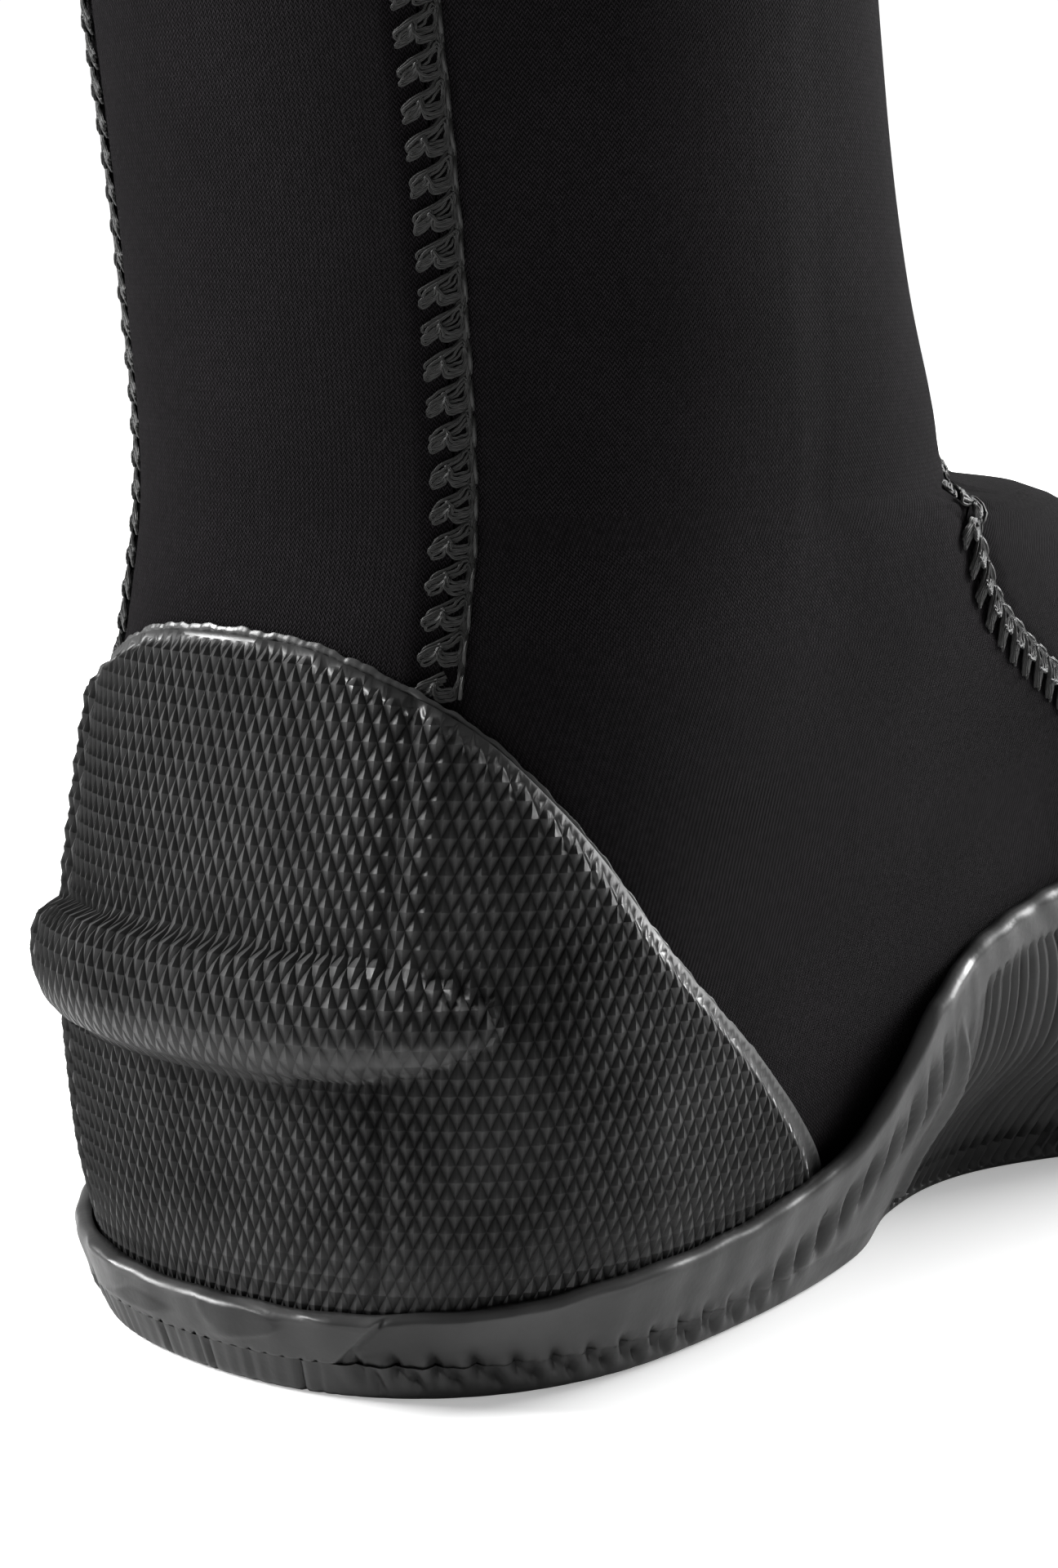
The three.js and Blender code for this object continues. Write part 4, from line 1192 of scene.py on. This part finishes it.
def seam_thread(name, v, z, side=1.0):
    """Sewn thread over a seam: four plies in loops, a knot, and a straight row up one edge."""
    line = seam_frame(v, z)
    total = line["length"][-1]
    repeats = int((total - 2.0) / stitch_pitch)
    shells = []
    for ply, (shift_along, shift_lift) in enumerate(plies):
        loops = smooth_loop(stitch, repeats, stitch_pitch, 4)
        loops[:, 1] += 0.16 * np.sin(loops[:, 0] * 1.9 + 2 * ply) + 0.08 * np.sin(loops[:, 0] * 5.3 + 2 * ply)
        path, out = on_seam(line, loops[:, 0] + shift_along, side * loops[:, 1],
                            0.8 * loops[:, 2] - 0.42 + shift_lift)
        shells.append(tube(path, out, 0.185, 5))
    along = np.arange(0.5, repeats * stitch_pitch + 2.0, stitch_pitch / 10)
    dive = np.abs(np.sin(np.pi * along / stitch_pitch)) ** 0.5
    row = side * (2.15 + 0.05 * np.sin(along))
    path, out = on_seam(line, along, row, -0.8 + 0.8 * dive)
    shells.append(tube(path, out, 0.16 + 0.06 * dive, 6))
    points, faces, cloth = joined(shells)
    return add_piece(name, points, faces, sewing_thread, [name], cloth=cloth)


# %% Sew the seams
thread_top = binding_low - 0.35
back_heights = np.linspace(float(cup_edge(back_seam)) + 0.6, thread_top, 400)
seam_thread("inner_back_seam_thread", np.full(400, back_seam), back_heights, 1.0)
seam_thread("outer_back_seam_thread", np.full(400, -back_seam), back_heights, -1.0)
front_heights = np.linspace(seam_top + 4.5, thread_top, 300)
seam_thread("front_seam_thread", np.full(300, 1.0), front_heights, -1.0)


def vamp_line(low, count=260):
    """The vamp seam from a height on the inner side, over the instep, to the same height outside."""
    climb = 1 - (1 - np.linspace(0, 1, count)) ** 2
    z = low + (seam_top - low) * climb
    v = vamp_seam(z)
    level_v = np.linspace(v[-1], 2 - v[-1], 60)[1:-1]
    level_z = np.full(len(level_v), seam_top)
    return np.concatenate([v, level_v, 2 - v[::-1]]), np.concatenate([z, level_z, z[::-1]])


vamp_low = float(foxing_top(vamp_seam(toe_height))) + 3.0
seam_thread("vamp_seam_thread", *vamp_line(vamp_low), 1.0)

# %% [markdown]
# ## Tapes and collar binding
# Inside, a thin tape is pressed over each seam. At the top, a strip of jersey is folded over the raw edge
# of the neoprene and sewn through, so the collar doesn't fray.


# %% Seam tapes
def seam_tape(name, v, z, seat):
    """A thin tape inside the boot, 8 mm wide, with edges that wave a little."""
    line = seam_frame(v, z)
    along = np.arange(0.0, line["length"][-1], 1.5)
    lanes = np.linspace(-4.0, 4.0, 9)
    grids = []
    for thickness in (0.0, 0.4):
        height = np.full(len(along), -seat + thickness)
        columns = [on_seam(line, along, lane + 0.12 * np.sin(along / 4.0), height)[0] for lane in lanes]
        grids.append(np.stack(columns))
    faces = grid_faces(len(lanes), len(along))
    points, closed = walled(grids[1].reshape(-1, 3), grids[0].reshape(-1, 3), faces)
    cloth = cloth_map(grids[1])
    return add_piece(name, points, closed, tape_cloth, [name],
                     cloth=np.concatenate([cloth, cloth]))


tape_low, vamp_tape_low = 18.75, 32.75
tape_seat = neoprene + 0.5
vamp_tape_seat = tape_seat + 2.0
back_tape = np.linspace(tape_low, thread_top, 300)
seam_tape("inner_back_seam_tape", np.full(300, back_seam), back_tape, tape_seat)
seam_tape("outer_back_seam_tape", np.full(300, -back_seam), back_tape, tape_seat)
seam_tape("front_seam_tape", np.full(300, 1.0), np.linspace(seam_top + 8.0, thread_top, 300), tape_seat)
seam_tape("vamp_seam_tape", *vamp_line(vamp_tape_low), vamp_tape_seat)


# %% Collar binding
binding_pitch = 0.9
binding_face = loose_fit + 0.9
binding_cloth_wall = 0.75
binding_crown = 2.4
straight_row, zigzag_row = 2.6, 4.8


def collar_binding():
    """The binding as a ring: a soft fold carried round the collar, pinched at its row of stitches. Its
    section runs up the outside, over the crown, down inside, and back close to the neoprene."""
    v, counts = even_girths(-1.0, 1.0, binding_pitch, 245.0, 0.0)
    length = counts * binding_pitch
    turn = np.linspace(0, np.pi, 13)
    half = (2 * binding_face + neoprene) / 2
    crown_z = boot_height - binding_crown + binding_crown * np.sin(turn)
    crown_d = -neoprene / 2 + half * np.cos(turn)
    rise = np.linspace(0, 1, 9)[:-1]
    z_out = binding_low + (boot_height - binding_crown - binding_low) * rise
    pinch = 0.45 * bell(z_out - binding_low - straight_row, 0.9)
    edge = 0.5 * bell(z_out - binding_low, 0.5)
    d_out = binding_face - pinch - edge
    d_in = -neoprene - binding_face + pinch[::-1] + edge[::-1]
    over_panel = [panel_top + 0.2, panel_top + 0.2]
    heights = np.concatenate([z_out, crown_z, z_out[::-1], z_out, over_panel, z_out[::-1]])
    panel_faces = [-neoprene - 0.7, 0.55]
    near_in, near_out = d_in[::-1] + binding_cloth_wall, (d_out - binding_cloth_wall)[::-1]
    places = np.concatenate([d_out, crown_d, d_in, near_in, panel_faces, near_out])
    ripple = 0.07 * wander(length, (3.1, 1.0, 0.0), (13.0, 1.5, 1.0))
    z = np.repeat(heights[:, None], len(v), 1) + 0.12 * wander(length, (31.0, 1.0, 0.5))[None]
    points = at(np.repeat(v[None], len(heights), 0), z, places[:, None] + ripple[None])
    loop = np.concatenate([points, points[:1]])
    faces = grid_faces(len(loop), len(v), ring=True)
    cloth = np.stack(np.broadcast_arrays(length[None], np.arange(len(loop))[:, None] * 1.2), -1)
    return add_piece("collar_binding", loop.reshape(-1, 3), faces, binding_cloth, ["collar_binding"],
                     cloth=cloth.reshape(-1, 2), sharp=180.0)


collar_binding()


# %% Stitches of the binding
thread_pitch = 0.35
thread_radius = 0.2
binding_stitch = 3.0


def binding_stitches():
    """A straight row of stitches and a zig-zag above it, all round the collar's outer face."""
    v, counts = even_girths(-1.0, 1.0, thread_pitch, 241.0, 1.0)
    length = counts * thread_pitch
    shells = []
    for height, swing in ((straight_row, 0.0), (zigzag_row, 1.1)):
        z = binding_low + height + swing * (4 * np.abs(length / binding_stitch % 1 - 0.5) - 1)
        lift = binding_face - thread_radius + 0.25 * np.abs(np.sin(np.pi * length / binding_stitch)) ** 0.5
        shells.append(tube(at(v, z, lift), normal(v, z), thread_radius, 5))
    points, faces, cloth = joined(shells)
    return add_piece("collar_binding_stitches", points, faces, sewing_thread, [], cloth=cloth)


binding_stitches()

# %% [markdown]
# The filler and the board are hidden between the soles. Their CAD solids have the right shape, so they stay
# and only get a finish.

# %% Finishes on the hidden plates
for node, finish in (("midsole", foam), ("insole_board", board)):
    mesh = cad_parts[node].data
    mesh.materials.clear()
    mesh.materials.append(finish)

# %% [markdown]
# The floor is white paper that reaches far past the view. It has a glow that only the camera sees, weaker
# near the boot, so the paper is white all over and the shadow under the sole still shows.

# %% Floor
floor_size = 4.0
glow_from, glow_to = 0.12, 0.42
glow_near, glow_far = 0.34, 0.9
corners = np.array([(-1, -1), (1, -1), (1, 1), (-1, 1)], float) * floor_size
floor_mesh = bpy.data.meshes.new("floor")
floor_mesh.from_pydata([(x, y, 0.0) for x, y in corners], [], [(0, 1, 2, 3)])
floor = bpy.data.objects.new("floor", floor_mesh)
scene.collection.objects.link(floor)
floor_finish = new_finish("pale_floor", (0.86, 0.86, 0.86), 0.6, 0.1)
floor_shader = floor_finish.node_tree.nodes["Principled BSDF"]
floor_shader.inputs["Emission Color"].default_value = (1.0, 1.0, 1.0, 1.0)
from_middle = add_node(floor_finish, "ShaderNodeVectorMath", {"operation": "LENGTH"},
                       i0=add_node(floor_finish, "ShaderNodeTexCoord").outputs["Object"]).outputs["Value"]
looked_at = add_node(floor_finish, "ShaderNodeLightPath").outputs["Is Camera Ray"]
glow = spread(floor_finish, from_middle, glow_from, glow_to, glow_near, glow_far)
wire(floor_finish, "Emission Strength", calc(floor_finish, "MULTIPLY", glow, looked_at))
floor_mesh.materials.append(floor_finish)
